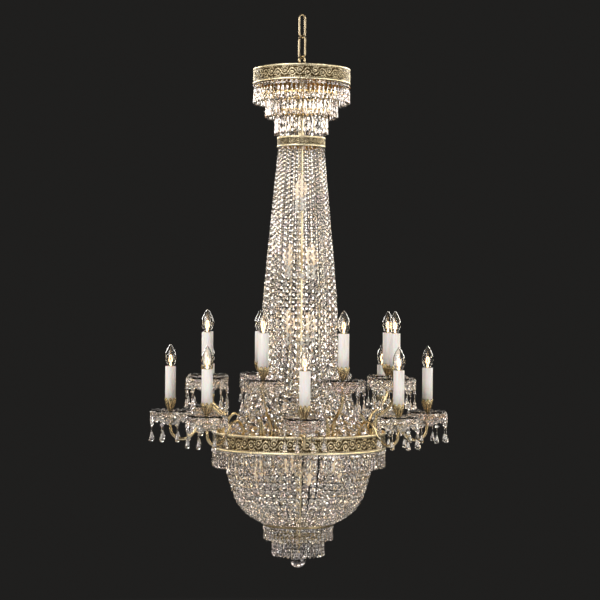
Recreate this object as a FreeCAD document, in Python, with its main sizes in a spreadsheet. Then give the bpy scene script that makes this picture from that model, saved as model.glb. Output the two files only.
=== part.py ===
import FreeCAD, Part
import math
import os
import re
import Sketcher
from FreeCAD import Placement, Rotation, Vector

# A tented crystal chandelier, drawn in millimetres with +Z up. The origin is the
# inside of the top bend of the upper chain link, where the ceiling hook bears,
# and the central stem runs straight down from it.

SIZES = {
    # the chain: two oval links at right angles, and the eye that hangs in them
    "wire": 5.0,
    "link_long": 66.0,
    "link_wide": 27.0,
    "link_play": 0.2,
    "eye_wide": 27.0,
    "eye_neck": 5.0,
    "eye_foot_radius": 12.0,
    "eye_foot_thick": 3.0,
    # the stem that every wheel of the frame is threaded on
    "stem_radius": 8.0,
    "stem_wall": 2.0,
    "hub_radius": 15.0,
    "hub_high": 12.0,
    "fit": 0.2,
    "nut_high": 7.0,
    # the wheels: flat spokes from hub to rim
    "spoke_wide": 9.0,
    "spoke_thick": 3.0,
    "spoke_count": 8,
    "small_spoke_count": 4,
    # the crown and its three stepped curtains
    "crown_gap": 4.0,
    "crown_radius": 129.0,
    "crown_high": 41.0,
    "band_wall": 2.5,
    "rim_high": 5.0,
    "rim_out": 2.0,
    "crown_middle_drop": 26.0,
    "crown_middle_radius": 98.0,
    "crown_lower_drop": 44.0,
    "crown_lower_radius": 72.0,
    "ring_wide": 5.0,
    "ring_high": 4.0,
    "crown_upper_count": 64,
    "crown_middle_count": 50,
    "crown_lower_count": 36,
    # the neck band, the tent of strands below it and the main band
    "neck_drop": 71.4,
    "neck_radius": 63.0,
    "neck_high": 27.0,
    "neck_ledge": 9.0,
    "column_long": 760.6,
    "column_count": 32,
    "shoulder_radius": 75.5,
    "waist_radius": 98.5,
    "hip_radius": 106.0,
    "skirt_radius": 160.0,
    "shoulder_depth": 139.0,
    "waist_depth": 419.0,
    "hip_depth": 589.0,
    "skirt_depth": 717.0,
    "bead_first": 10.0,
    "bead_last": 22.0,
    "main_radius": 230.0,
    "main_high": 46.0,
    "main_rim_out": 3.0,
    "ledge_wide": 34.0,
    "ledge_thick": 3.0,
    "main_drop_count": 104,
    # the basket and the base
    "basket_deep": 199.0,
    "basket_count": 56,
    "basket_bead": 18.0,
    "basket_bead_last": 9.5,
    "belly_radius": 179.0,
    "belly_share": 0.45,
    "base_radius": 94.0,
    "base_high": 6.0,
    "base_step": 35.0,
    "base_small_radius": 71.0,
    "base_upper_count": 46,
    "base_lower_count": 36,
    # the crystal cuts
    "pin_half": 0.9,
    "drop_flat": 0.6,
    "octagon": 11.0,
    "prism_wide": 10.0,
    "prism_long": 43.0,
    "short_prism_long": 37.0,
    "base_prism_long": 32.0,
    "hang_gap": 0.3,
    # the arms: eight outer ones below, eight inner ones above
    "arm_count": 8,
    "lower_arm_radius": 4.4,
    "upper_arm_radius": 5.0,
    "lower_reach": 345.0,
    "lower_foot": 212.0,
    "lower_arch_reach": 243.0,
    "lower_arch_high": 37.0,
    "lower_dip": 22.0,
    "lower_bend": 23.0,
    "lower_top": 44.0,
    "upper_reach": 267.0,
    "upper_foot": 208.0,
    "upper_turn": 60.0,
    "upper_rise": 4.0,
    "upper_top": 136.5,
    "collar_radius": 10.0,
    "collar_high": 6.0,
    # the cast leaf that stands on the ledge beside each upper arm's foot
    "leaf_radius": 219.0,
    "leaf_high": 88.0,
    "leaf_wide": 24.0,
    "leaf_thick": 1.6,
    "leaf_curl": 8.0,
    "leaf_aside": 6.0,
    # what each arm carries, from the pan up to the bulb
    "pan_radius": 55.0,
    "pan_foot": 18.0,
    "pan_rise": 9.0,
    "pan_thick": 3.5,
    "pan_lip": 1.5,
    "bowl_radius": 46.0,
    "bowl_wall": 2.5,
    "bowl_deep": 36.0,
    "bowl_hole": 9.0,
    "cup_stem": 4.8,
    "cup_radius": 15.6,
    "cup_high": 44.0,
    "cup_floor": 32.0,
    "sleeve_radius": 14.0,
    "sleeve_wall": 1.3,
    "sleeve_high": 96.0,
    "holder_radius": 12.2,
    "holder_short": 2.0,
    "socket_deep": 27.0,
    "cap_radius": 7.0,
    "cap_play": 0.4,
    "cap_long": 25.0,
    "bulb_radius": 15.8,
    "bulb_neck": 8.5,
    "bulb_high": 60.0,
    "pan_drop_count": 8,
    "small_bead": 9.0,
    "pear_wide": 12.0,
    "pear_long": 42.0,
    # the lamps hidden in the column and in the basket
    "column_lamp_first": 170.0,
    "column_lamp_pitch": 180.0,
    "column_lamp_levels": 3,
    "column_lamp_out": 34.0,
    "column_lamp_turn": 90.0,
    "column_lamp_step": 60.0,
    "lamp_holder_high": 34.0,
    "basket_lamp_count": 4,
    "basket_lamp_out": 110.0,
    # the finial
    "finial_radius": 13.0,
    "finial_high": 6.0,
    "loop_wire": 2.0,
    "loop_wide": 11.0,
    "ball_radius": 21.0,
    "ball_neck": 3.0,
}

# The heights that follow from those sizes, each worked out from the ones above it.
LEVELS = {
    "pivot_upper": "1.5 * wire - link_long",
    "pivot_lower": "pivot_upper + 2 * wire + link_play - link_long",
    "eye_centre": "pivot_lower + 1.5 * wire + link_play - eye_wide / 2",
    "stem_top": "eye_centre - eye_wide / 2 - eye_neck - eye_foot_thick",
    "crown_top": "stem_top - crown_gap",
    "crown_bottom": "crown_top - crown_high",
    "crown_middle": "crown_bottom - crown_middle_drop",
    "crown_lower": "crown_middle - crown_lower_drop",
    "neck_top": "crown_lower - neck_drop",
    "neck_bottom": "neck_top - neck_high",
    "main_top": "neck_bottom - column_long",
    "main_bottom": "main_top - main_high",
    "ledge_top": "main_bottom + ledge_thick",
    "base_top": "main_bottom - basket_deep",
    "base_small": "base_top - base_step",
    "stem_bottom": "base_small - hub_high - nut_high - fit",
    "finial_bottom": "stem_bottom - finial_high",
    "loop_centre": "finial_bottom - loop_wide / 2 + loop_wire",
    "ball_pivot": "loop_centre - loop_wide / 2 + loop_wire / 2",
    "ball_loop": "ball_pivot + 1.5 * loop_wire + link_play - loop_wide / 2",
    "ball_centre": "ball_loop - loop_wide / 2 - ball_neck - ball_radius",
    "lower_seat": "main_top + lower_top",
    "upper_seat": "main_top + upper_top",
    "bore": "stem_radius + fit",
}

FRONT = -90.0

doc = FreeCAD.newDocument("chandelier")
sheet = doc.addObject("Spreadsheet::Sheet", "sizes")
for row, (name, value) in enumerate(SIZES.items(), start=1):
    sheet.set(f"A{row}", name)
    sheet.set(f"B{row}", repr(value))
    sheet.setAlias(f"B{row}", name)
doc.recompute()
levels = doc.addObject("App::FeaturePython", "levels")


def named(text):
    """Put the sheet's or the levels' name before each size in an expression."""

    def full(match):
        word = match.group(0)
        if word in SIZES:
            return "sizes." + word
        if word in LEVELS:
            return "levels." + word
        return word

    return re.sub(r"[a-z_]+", full, text)


for name, text in LEVELS.items():
    levels.addProperty("App::PropertyFloat", name)
    own = re.sub(r"levels\.", "", named(text))
    levels.setExpression(name, own)
doc.recompute()

subparts = []


def size(name):
    """Read one size or level as a plain number."""
    if name in SIZES:
        return float(sheet.get(name))
    return float(getattr(levels, name))


def keep(thing):
    """Hand a finished sub-part over under its label."""
    subparts.append(thing)
    return thing


def feature(label, shape, at=None):
    """Keep a sub-part whose shape is made by hand."""
    thing = doc.addObject("Part::Feature", label)
    thing.Label = label
    thing.Shape = shape
    thing.Placement = at or shape.Placement
    return keep(thing)


def origin_item(body, role):
    """Find one of a body's own origin planes or axes."""
    for item in body.Origin.OriginFeatures:
        if item.Role == role:
            return item
    raise ValueError(role)


def outline(sketch, corners):
    """Draw a closed outline whose corners are tied to expressions (radius, height)."""
    guess = []
    for across, up in corners:
        guess.append(Vector(corner_value(across), corner_value(up), 0))
    count = len(guess)
    for n in range(count):
        sketch.addGeometry(Part.LineSegment(guess[n], guess[(n + 1) % count]), False)
    for n in range(count):
        sketch.addConstraint(Sketcher.Constraint("Coincident", n, 2, (n + 1) % count, 1))
    for n, (across, up) in enumerate(corners):
        tie(sketch, "DistanceX", n, across, guess[n].x, -2)
        tie(sketch, "DistanceY", n, up, guess[n].y, -1)


def tie(sketch, kind, n, text, value, axis):
    """Hold one coordinate of a corner: on the axis where it is nothing, else by size."""
    if text == "0":
        sketch.addConstraint(Sketcher.Constraint("PointOnObject", n, 1, axis))
        return
    index = sketch.addConstraint(Sketcher.Constraint(kind, -1, 1, n, 1, value))
    sketch.setExpression(f"Constraints[{index}]", named(text))


probe = doc.addObject("App::FeaturePython", "probe")
probe.addProperty("App::PropertyFloat", "reading")


def corner_value(text):
    """Work out an expression once, as the starting place of a corner."""
    if text == "0":
        return 0.0
    probe.setExpression("reading", named(text))
    probe.recompute()
    return probe.reading


def turned(label, height, corners, reach=None, first=0.0, copies=None):
    """Turn an outline about the stem's axis, or about an axis at a reach, copied round."""
    body = doc.addObject("PartDesign::Body", label)
    body.Label = label
    body.setExpression("Placement.Base.z", named(height))
    turn = Rotation(Vector(0, 0, 1), first)
    body.Placement = Placement(Vector(0, 0, corner_value(height)), turn)
    sketch = body.newObject("Sketcher::SketchObject", label + "_outline")
    sketch.AttachmentSupport = [(origin_item(body, "XZ_Plane"), "")]
    sketch.MapMode = "FlatFace"
    if reach:
        sketch.setExpression("AttachmentOffset.Base.x", named(reach))
    outline(sketch, corners)
    solid = body.newObject("PartDesign::Revolution", label + "_turn")
    solid.Profile = sketch
    solid.ReferenceAxis = (sketch, ["V_Axis"])
    solid.Angle = 360.0
    body.Tip = solid
    if copies:
        doc.recompute()
        ring = body.newObject("PartDesign::PolarPattern", label + "_round")
        ring.Originals = [solid]
        ring.Axis = (origin_item(body, "Z_Axis"), [""])
        ring.Angle = 360.0
        ring.setExpression("Occurrences", named(copies))
        body.Tip = ring
    return keep(body)


def band(label, top, radius, high, out, ledge=None):
    """A pressed band: a thin wall with a plain rim at its top and bottom edges."""
    wall = f"{radius} - band_wall"
    rim = f"{radius} + {out}"
    corners = [(rim, "0"), (rim, "rim_high"), (radius, "rim_high")]
    corners += [(radius, f"{high} - rim_high"), (rim, f"{high} - rim_high")]
    corners += [(rim, high), (wall, high)]
    if ledge:
        corners += [(wall, "ledge_thick"), (f"{radius} - {ledge}", "ledge_thick")]
        corners += [(f"{radius} - {ledge}", "0")]
    else:
        corners += [(wall, "0")]
    return turned(label, f"{top} - {high}", corners)


def pipe(label, radius, hole, long):
    """A plain tube from two cylinders tied to the sheet."""
    outer = doc.addObject("Part::Cylinder", label + "_outer")
    inner = doc.addObject("Part::Cylinder", label + "_inner")
    tube = doc.addObject("Part::Cut", label)
    outer.setExpression("Radius", named(radius))
    inner.setExpression("Radius", named(hole))
    outer.setExpression("Height", named(long))
    inner.setExpression("Height", named(long))
    tube.Base = outer
    tube.Tool = inner
    return tube


def wheel(label, top, rim_radius, rim_wide, rim_high, spokes, first=0.0):
    """A hub, flat spokes and a rim, fused; top is the level of the rim's top face."""
    hub = pipe(label + "_hub", "hub_radius", "bore", "hub_high")
    rim = pipe(label + "_rim", rim_radius, f"{rim_radius} - {rim_wide}", rim_high)
    rim.setExpression("Placement.Base.z", named(f"hub_high - {rim_high}"))
    pieces = [hub, rim]
    for n in range(int(size(spokes))):
        spoke = doc.addObject("Part::Box", f"{label}_spoke_{n}")
        spoke.setExpression("Length", named(f"{rim_radius} - {rim_wide} / 2 - hub_radius + 1"))
        spoke.setExpression("Width", named("spoke_wide"))
        spoke.setExpression("Height", named("spoke_thick"))
        turn = Rotation(Vector(0, 0, 1), first + n * 360.0 / size(spokes))
        out = turn.multVec(Vector(size("hub_radius") - 1, -size("spoke_wide") / 2, 0))
        lift = size("hub_high") - size("spoke_thick")
        spoke.Placement = Placement(Vector(out.x, out.y, lift), turn)
        pieces.append(spoke)
    fused = doc.addObject("Part::MultiFuse", label)
    fused.Label = label
    fused.Shapes = pieces
    fused.Refine = True
    fused.setExpression("Placement.Base.z", named(f"{top} - hub_high"))
    return keep(fused)


def faceted(rings):
    """Close a stack of parallel rings of points into one flat-faced solid."""
    faces = []
    for low, high in zip(rings, rings[1:]):
        count = len(low)
        for n in range(count):
            m = (n + 1) % count
            corners = [low[n], low[m], high[m], high[n], low[n]]
            faces.append(Part.Face(Part.makePolygon(corners)))
    for ring in (rings[0], rings[-1]):
        faces.append(Part.Face(Part.makePolygon(ring + ring[:1])))
    shell = Part.makeShell(faces)
    shell.sewShape()
    solid = Part.makeSolid(shell)
    if solid.Volume < 0:
        solid.reverse()
    return solid


def diamond(centre, half, flat):
    """Four corners round a centre: half across, and flat times that in and out."""
    deep = Vector(half * flat, 0, 0)
    wide = Vector(0, half, 0)
    return [centre + deep, centre + wide, centre - deep, centre - wide]


def bead(wide):
    """A faceted bead as (half width, share of length) steps, with its length."""
    return [(wide / 2, 0.35), (wide / 2, 0.65)], wide


def small_stone(wide):
    """A small bead that is widest at its middle."""
    return [(wide / 2, 0.5)], wide


def prism(wide, long):
    """A long cut drop: slender at the top, widest near its foot, with a blunt point."""
    return [(wide * 0.3, 0.1), (wide / 2, 0.82)], long


def pear(wide, long):
    """A pear drop with a slender neck, widest near its blunt foot."""
    return [(wide / 6, 0.45), (wide / 2, 0.84), (wide / 2.6, 0.96)], long


def hung(pieces, radius, top, flat):
    """String cut pieces one under another, straight down from a carrier at a radius."""
    pin = size("pin_half")
    at = top - size("hang_gap")
    rings = [diamond(Vector(radius, 0, at), pin, flat)]
    for steps, long in pieces:
        for half, share in steps:
            rings.append(diamond(Vector(radius, 0, at - share * long), half, flat))
        at -= long
        rings.append(diamond(Vector(radius, 0, at), pin, flat))
    return faceted(rings)


def ringed(solid, count, first=0.0):
    """Copy a solid evenly round the stem."""
    copies = []
    for n in range(int(count)):
        copy = solid.copy()
        copy.rotate(Vector(0, 0, 0), Vector(0, 0, 1), first + n * 360.0 / count)
        copies.append(copy)
    return copies


def curtain(label, count, radius, top, pieces):
    """A curtain of equal drops round a ring."""
    one = hung(pieces, radius, top, size("drop_flat"))
    step = 360.0 / size(count)
    feature(label, Part.makeCompound(ringed(one, size(count), FRONT + step / 2)))


def strand(path, first, last, span, wide, top_level, end_level):
    """Thread touching beads along a path of (radius, height) points.

    The beads go from the first size to the last over a span, given as the shares of
    the length where the change starts and ends.
    """
    curve = Part.BSplineCurve()
    curve.interpolate([Vector(r, 0, z) for r, z in path])
    track = curve.toShape().discretize(Number=600)
    run = [0.0]
    for a, b in zip(track, track[1:]):
        run.append(run[-1] + a.distanceToPoint(b))
    total = run[-1]
    cuts = [0.0]
    while cuts[-1] < total:
        share = (cuts[-1] / total - span[0]) / (span[1] - span[0])
        cuts.append(cuts[-1] + first + (last - first) * max(0.0, min(1.0, share)))
    cuts = [c * total / cuts[-1] for c in cuts]
    pin = size("pin_half")
    rings = [diamond(Vector(path[0][0], 0, top_level), pin, 1.0)]
    for a, b in zip(cuts, cuts[1:]):
        half = wide * (b - a) / 2
        for share, reach in ((0.5, half), (1.0, pin)):
            place = along(track, run, a + share * (b - a))
            rings.append(diamond(place, reach, 1.0))
    rings[-1] = diamond(Vector(path[-1][0], 0, end_level), pin, 1.0)
    return faceted(rings)


def along(track, run, distance):
    """The point of a track at a distance along it."""
    for n in range(1, len(track)):
        if run[n] >= distance or n == len(track) - 1:
            part = (distance - run[n - 1]) / (run[n] - run[n - 1])
            return track[n - 1] + (track[n] - track[n - 1]) * min(part, 1.0)
    return track[-1]


def round_sweep(wire, radius, start, heading):
    """Sweep a round section along a wire of runs and arcs."""
    circle = Part.Wire([Part.Circle(start, heading, radius).toShape()])
    return wire.makePipe(Part.Face(circle))


def ring_solid(centre, wide, wire, side):
    """A round ring of wire standing on edge, its plane facing along side."""
    return Part.makeTorus(wide / 2 - wire / 2, wire / 2, centre, side)


def oval_link(top, turn):
    """An oval chain link, the centre of its top bend's wire at a height."""
    wire = size("wire")
    half = (size("link_wide") - wire) / 2
    straight = size("link_long") - size("link_wide")
    up = Vector(0, 0, top - half)
    low = up - Vector(0, 0, straight)
    side = Vector(half, 0, 0)
    arch = Part.Arc(up + side, up + Vector(0, 0, half), up - side).toShape()
    bend = Part.Arc(low - side, low - Vector(0, 0, half), low + side).toShape()
    left = Part.LineSegment(up - side, low - side).toShape()
    right = Part.LineSegment(low + side, up + side).toShape()
    path = Part.Wire([right, arch, left, bend])
    solid = round_sweep(path, wire / 2, low + side, Vector(0, 0, 1))
    solid.rotate(Vector(0, 0, 0), Vector(0, 0, 1), turn)
    return solid


def make_chain():
    """The two links and the eye that the stem hangs by."""
    wire = size("wire")
    lower_top = size("pivot_upper") + wire + size("link_play")
    feature("chain_link_upper", oval_link(wire / 2, 45.0))
    feature("chain_link_lower", oval_link(lower_top, -45.0))
    centre = Vector(0, 0, size("eye_centre"))
    ring = ring_solid(centre, size("eye_wide"), wire, Vector(1, -1, 0))
    neck_long = size("eye_neck") + wire / 2
    neck_base = Vector(0, 0, size("stem_top") + size("eye_foot_thick"))
    neck = Part.makeCylinder(wire, neck_long, neck_base)
    foot_base = Vector(0, 0, size("stem_top"))
    foot = Part.makeCylinder(size("eye_foot_radius"), size("eye_foot_thick"), foot_base)
    feature("hanger_eye", ring.fuse([neck, foot]).removeSplitter())


def make_stem():
    """The tube through the whole frame, and the nuts under its wheels."""
    stem = pipe("central_stem", "stem_radius", "stem_radius - stem_wall", "stem_top - stem_bottom")
    stem.Label = "central_stem"
    stem.setExpression("Placement.Base.z", named("stem_bottom"))
    keep(stem)
    nuts = []
    for under in ("crown_top", "crown_middle", "crown_lower", "neck_top", "base_top", "base_small"):
        nuts.append(lock_nut(size(under) - size("hub_high")))
    nuts.append(lock_nut(size("ledge_top") + size("spoke_thick") - size("hub_high")))
    feature("lock_nuts", Part.makeCompound(nuts))


def lock_nut(top):
    """A six-sided nut on the stem, its top face at a height."""
    across = size("hub_radius") * 0.95
    points = []
    for n in range(7):
        turn = math.radians(60 * n)
        points.append(Vector(across * math.cos(turn), across * math.sin(turn), top))
    block = Part.Face(Part.makePolygon(points)).extrude(Vector(0, 0, -size("nut_high")))
    bore = Part.makeCylinder(size("bore"), 3 * size("nut_high"), Vector(0, 0, top - 2 * size("nut_high")))
    return block.cut(bore)


def make_crown():
    """The crown band, its wheels and the three stepped curtains."""
    band("crown_band", "crown_top", "crown_radius", "crown_high", "rim_out", ledge="ring_wide * 1.6")
    wheel("crown_spider", "crown_top", "crown_radius - band_wall - fit", "ring_wide",
          "ring_high", "spoke_count", 22.5)
    wheel("crown_ring_middle", "crown_middle", "crown_middle_radius", "ring_wide",
          "ring_high", "small_spoke_count", 22.5)
    wheel("crown_ring_lower", "crown_lower", "crown_lower_radius", "ring_wide",
          "ring_high", "small_spoke_count", 22.5)
    top_bead = bead(size("octagon"))
    long_drop = prism(size("prism_wide"), size("prism_long"))
    step_drop = prism(size("prism_wide"), size("prism_long") + size("octagon") * 0.8)
    curtain("crown_drops_upper", "crown_upper_count", size("crown_radius") - 1.5,
            size("crown_bottom"), [top_bead, long_drop])
    curtain("crown_drops_middle", "crown_middle_count",
            size("crown_middle_radius") - size("ring_wide") / 2,
            size("crown_middle") - size("ring_high"), [top_bead, step_drop])
    curtain("crown_drops_lower", "crown_lower_count",
            size("crown_lower_radius") - size("ring_wide") / 2,
            size("crown_lower") - size("ring_high"), [top_bead, step_drop])


def make_column():
    """The neck band and the tent of strands that opens down to the main band."""
    band("neck_band", "neck_top", "neck_radius", "neck_high", "rim_out", ledge="neck_ledge")
    wheel("neck_spider", "neck_top", "neck_radius - band_wall - fit", "ring_wide",
          "ring_high", "small_spoke_count", 22.5)
    top = size("neck_bottom")
    foot = size("ledge_top") + size("hang_gap")
    path = [(size("neck_radius") - size("neck_ledge") / 2, top)]
    for name in ("shoulder", "waist", "hip", "skirt"):
        path.append((size(name + "_radius") - size("bead_first") / 2, top - size(name + "_depth")))
    path.append((size("main_radius") - size("ledge_wide") + 6.0, foot))
    one = strand(path, size("bead_first"), size("bead_last"), (0.0, 0.62), 0.86,
                 top - size("hang_gap"), foot)
    count = size("column_count")
    feature("column_strands", Part.makeCompound(ringed(one, count, FRONT + 180.0 / count)))


def make_main_band():
    """The main band with its ledge, its spider and its row of drops."""
    band("main_band", "main_top", "main_radius", "main_high", "main_rim_out", ledge="ledge_wide")
    wheel("main_spider", "ledge_top + spoke_thick", "main_radius - ledge_wide - fit",
          "ring_wide", "ring_high", "spoke_count", 11.25)
    drops = [bead(size("octagon")), prism(size("prism_wide"), size("short_prism_long"))]
    curtain("main_drops", "main_drop_count", size("main_radius"), size("main_bottom"), drops)


def make_basket():
    """The bowl of strands under the main band and the stepped base below it."""
    top = size("main_bottom")
    deep = size("basket_deep")
    first = size("main_radius") - size("ledge_wide") + 8.0
    last = size("base_radius") + size("basket_bead") / 2
    belly = size("belly_radius")
    end = size("base_top") + size("hang_gap")
    path = [(first, top)]
    path.append((belly, top - deep * size("belly_share")))
    path.append((belly - (belly - last) * 0.22, top - deep * 0.70))
    path.append((belly - (belly - last) * 0.52, top - deep * 0.845))
    path.append((belly - (belly - last) * 0.80, top - deep * 0.925))
    path.append((last - size("basket_bead") / 2 - 1.5, end))
    one = strand(path, size("basket_bead"), size("basket_bead_last"), (0.55, 1.0), 0.86,
                 top - size("hang_gap"), end)
    count = size("basket_count")
    feature("basket_strands", Part.makeCompound(ringed(one, count, FRONT + 180.0 / count)))
    wheel("base_ring", "base_top", "base_radius", "ring_wide * 1.4", "base_high",
          "small_spoke_count", 22.5)
    wheel("base_ring_small", "base_small", "base_small_radius", "ring_wide", "ring_high",
          "small_spoke_count", 22.5)
    drops = [bead(size("octagon")), prism(size("prism_wide"), size("base_prism_long") - 5.0)]
    curtain("base_drops_upper", "base_upper_count", size("base_radius") - 3.0,
            size("base_top") - size("base_high"), drops)
    long_drops = [bead(size("octagon")), prism(size("prism_wide"), size("base_prism_long") + 6.0)]
    curtain("base_drops_lower", "base_lower_count",
            size("base_small_radius") - size("ring_wide") / 2,
            size("base_small") - size("ring_high"), long_drops)


def tube_path(start, moves):
    """Edges of a path in the radius-height plane: straight runs and tangent arcs.

    It starts straight up. A move is (length, 0) for a run, or (radius, degrees) for
    an arc, where positive degrees turn outward and negative ones turn inward.
    """
    at = start
    way = Vector(0, 0, 1)
    edges = []
    for reach, degrees in moves:
        if not degrees:
            end = at + way * reach
            edges.append(Part.LineSegment(at, end).toShape())
            at = end
            continue
        out = Vector(way.z, 0, -way.x) * math.copysign(reach, degrees)
        hub = at + out
        half = Rotation(Vector(0, 1, 0), degrees / 2)
        middle = hub + half.multVec(at - hub)
        end = hub + half.multVec(half.multVec(at - hub))
        edges.append(Part.Arc(at, middle, end).toShape())
        way = half.multVec(half.multVec(way))
        at = end
    return edges, at


def arm(radius, foot, low, moves, seat):
    """One arm: a round tube of runs and arcs, with a collar at its top."""
    start = Vector(foot, 0, low)
    edges, at = tube_path(start, moves)
    high = size("collar_high")
    top = Vector(at.x, 0, seat - high / 2)
    edges.append(Part.LineSegment(at, top).toShape())
    tube = round_sweep(Part.Wire(edges), radius, start, Vector(0, 0, 1))
    collar = Part.makeCylinder(size("collar_radius"), high, Vector(at.x, 0, seat - high))
    return tube.fuse(collar).removeSplitter()


def make_arms():
    """Eight arched arms below and eight swept arms above, between them."""
    low = size("ledge_top")
    top = size("main_top")
    foot = size("lower_foot")
    arch = size("lower_arch_reach") - foot
    rise = top + size("lower_arch_high") - arch - low
    fall = size("lower_arch_high") - arch + size("lower_dip")
    bend = size("lower_bend")
    run = size("lower_reach") - foot - 2 * arch - fall - bend
    moves = [(rise, 0), (arch, 180.0), (fall, -90.0), (run, 0), (bend, -90.0)]
    one = arm(size("lower_arm_radius"), foot, low, moves, size("lower_seat"))
    feature("lower_arms", Part.makeCompound(ringed(one, size("arm_count"), FRONT)))
    foot = size("upper_foot")
    turn = size("upper_turn")
    sweep = (size("upper_reach") - foot) / 2 / (1 - math.cos(math.radians(turn)))
    rise = top + size("upper_rise") - low
    moves = [(rise, 0), (sweep, turn), (sweep, -turn)]
    one = arm(size("upper_arm_radius"), foot, low, moves, size("upper_seat"))
    half_step = 180.0 / size("arm_count")
    feature("upper_arms", Part.makeCompound(ringed(one, size("arm_count"), FRONT + half_step)))


def make_leaves():
    """A tapered cast leaf on the ledge beside the foot of each upper arm."""
    rings = []
    for up, wide, curl in ((0.0, 0.5, 0.0), (0.35, 1.0, 0.0), (0.75, 0.75, 0.35), (1.0, 0.1, 1.0)):
        half = size("leaf_wide") * wide / 2
        inner = size("leaf_radius") + size("leaf_curl") * curl
        outer = inner + size("leaf_thick")
        level = size("ledge_top") + size("leaf_high") * up
        corners = [(inner, -half), (outer, -half), (outer, half), (inner, half)]
        rings.append([Vector(x, y, level) for x, y in corners])
    first = FRONT + 180.0 / size("arm_count") - size("leaf_aside")
    feature("arm_leaves", Part.makeCompound(ringed(faceted(rings), size("arm_count"), first)))


def make_tier(tier, seat, reach, first):
    """What the eight arms of a tier carry: pans, cups, holders, sleeves, drops, bulbs."""
    hole = "cup_stem + fit"
    rim = "pan_thick + pan_rise"
    pan = [(hole, "0"), ("pan_foot", "0"), ("pan_radius", rim + " - pan_lip")]
    pan += [("pan_radius", rim), ("pan_foot", "pan_thick"), (hole, "pan_thick")]
    turned(tier + "_pans", seat, pan, reach, first, "arm_count")
    slope = "((pan_thick + pan_rise - pan_lip) / (pan_radius - pan_foot))"
    lip = f"({slope} * (bowl_radius - bowl_wall - pan_foot) - fit)"
    bowl = [("bowl_radius", lip), ("bowl_radius - bowl_wall", lip)]
    for wide, deep in (("0.86", "0.36"), ("0.72", "0.68"), ("0.45", "0.92")):
        bowl.append((f"{wide} * bowl_radius", f"{lip} - {deep} * (bowl_deep - bowl_wall)"))
    bowl += [("bowl_hole", f"{lip} - bowl_deep + bowl_wall"), ("bowl_hole", f"{lip} - bowl_deep")]
    for wide, deep in (("0.52", "0.93"), ("0.80", "0.70"), ("0.95", "0.36")):
        bowl.append((f"{wide} * bowl_radius", f"{lip} - {deep} * bowl_deep"))
    turned(tier + "_pan_bowls", seat, bowl, reach, first, "arm_count")
    cup = [("0", "0"), ("cup_stem", "0"), ("cup_stem", "pan_thick + fit")]
    cup += [("cup_radius * 0.62", "pan_thick + fit"), ("cup_radius * 0.4", "cup_floor * 0.3")]
    cup += [("cup_radius * 0.62", "cup_floor * 0.55"), ("cup_radius * 0.94", "cup_floor * 0.92")]
    cup += [("cup_radius", "cup_high * 0.82"), ("cup_radius", "cup_high")]
    cup += [("sleeve_radius + fit", "cup_high"), ("sleeve_radius + fit", "cup_floor"), ("0", "cup_floor")]
    turned(tier + "_cups", seat, cup, reach, first, "arm_count")
    floor = f"{seat} + cup_floor"
    wall = "sleeve_radius - sleeve_wall"
    sleeve = [(wall, "0"), ("sleeve_radius", "0"), ("sleeve_radius", "sleeve_high"), (wall, "sleeve_high")]
    turned(tier + "_sleeves", floor, sleeve, reach, first, "arm_count")
    top = "sleeve_high - holder_short"
    bore = "cap_radius + cap_play"
    holder = [("0", "0"), ("holder_radius", "0"), ("holder_radius", top), (bore, top)]
    holder += [(bore, top + " - socket_deep"), ("0", top + " - socket_deep")]
    turned(tier + "_lampholders", floor, holder, reach, first, "arm_count")
    hang_pan_drops(tier, seat, reach, first)
    stand_bulbs(tier, seat, reach, first)


def hang_pan_drops(tier, seat, reach, first):
    """A string of beads and a pear drop at each point of every pan's rim."""
    rim = size("pan_radius") - 2.0
    rise = size("pan_thick") + size("pan_rise") - size("pan_lip")
    slope = rise / (size("pan_radius") - size("pan_foot"))
    top = size(seat) + slope * (rim - size("pin_half") - size("pan_foot"))
    large = bead(size("octagon"))
    small = small_stone(size("small_bead"))
    pieces = [large, small, small, large, pear(size("pear_wide"), size("pear_long"))]
    one = hung(pieces, rim, top, 1.0)
    round_pan = ringed(one, size("pan_drop_count"), 180.0 / size("pan_drop_count"))
    for drop in round_pan:
        drop.translate(Vector(size(reach), 0, 0))
    group = Part.makeCompound(round_pan)
    solids = []
    for turned_group in ringed(group, size("arm_count"), first):
        solids.extend(turned_group.Solids)
    feature(tier + "_pan_drops", Part.makeCompound(solids))


def bulb(neck_gap):
    """A candle bulb with its screw cap, its glass starting at height 0."""
    cap = size("cap_radius")
    wide = size("bulb_radius")
    high = size("bulb_high")
    neck = size("bulb_neck")
    start = Vector(neck, 0, neck_gap)
    glass = Part.BSplineCurve()
    points = [start, Vector(wide * 0.88, 0, high * 0.2), Vector(wide, 0, high * 0.38)]
    points += [Vector(wide * 0.85, 0, high * 0.6), Vector(wide * 0.44, 0, high * 0.84)]
    points += [Vector(wide * 0.17, 0, high * 0.96), Vector(0, 0, high)]
    glass.interpolate(points)
    bottom = neck_gap - size("cap_long")
    edges = [glass.toShape()]
    corners = [points[-1], Vector(0, 0, bottom), Vector(cap * 0.5, 0, bottom)]
    corners += [Vector(cap, 0, bottom + 4.0), Vector(cap, 0, neck_gap), start]
    for a, b in zip(corners, corners[1:]):
        edges.append(Part.LineSegment(a, b).toShape())
    face = Part.Face(Part.Wire(Part.__sortEdges__(edges)))
    return face.revolve(Vector(0, 0, 0), Vector(0, 0, 1), 360.0)


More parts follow.
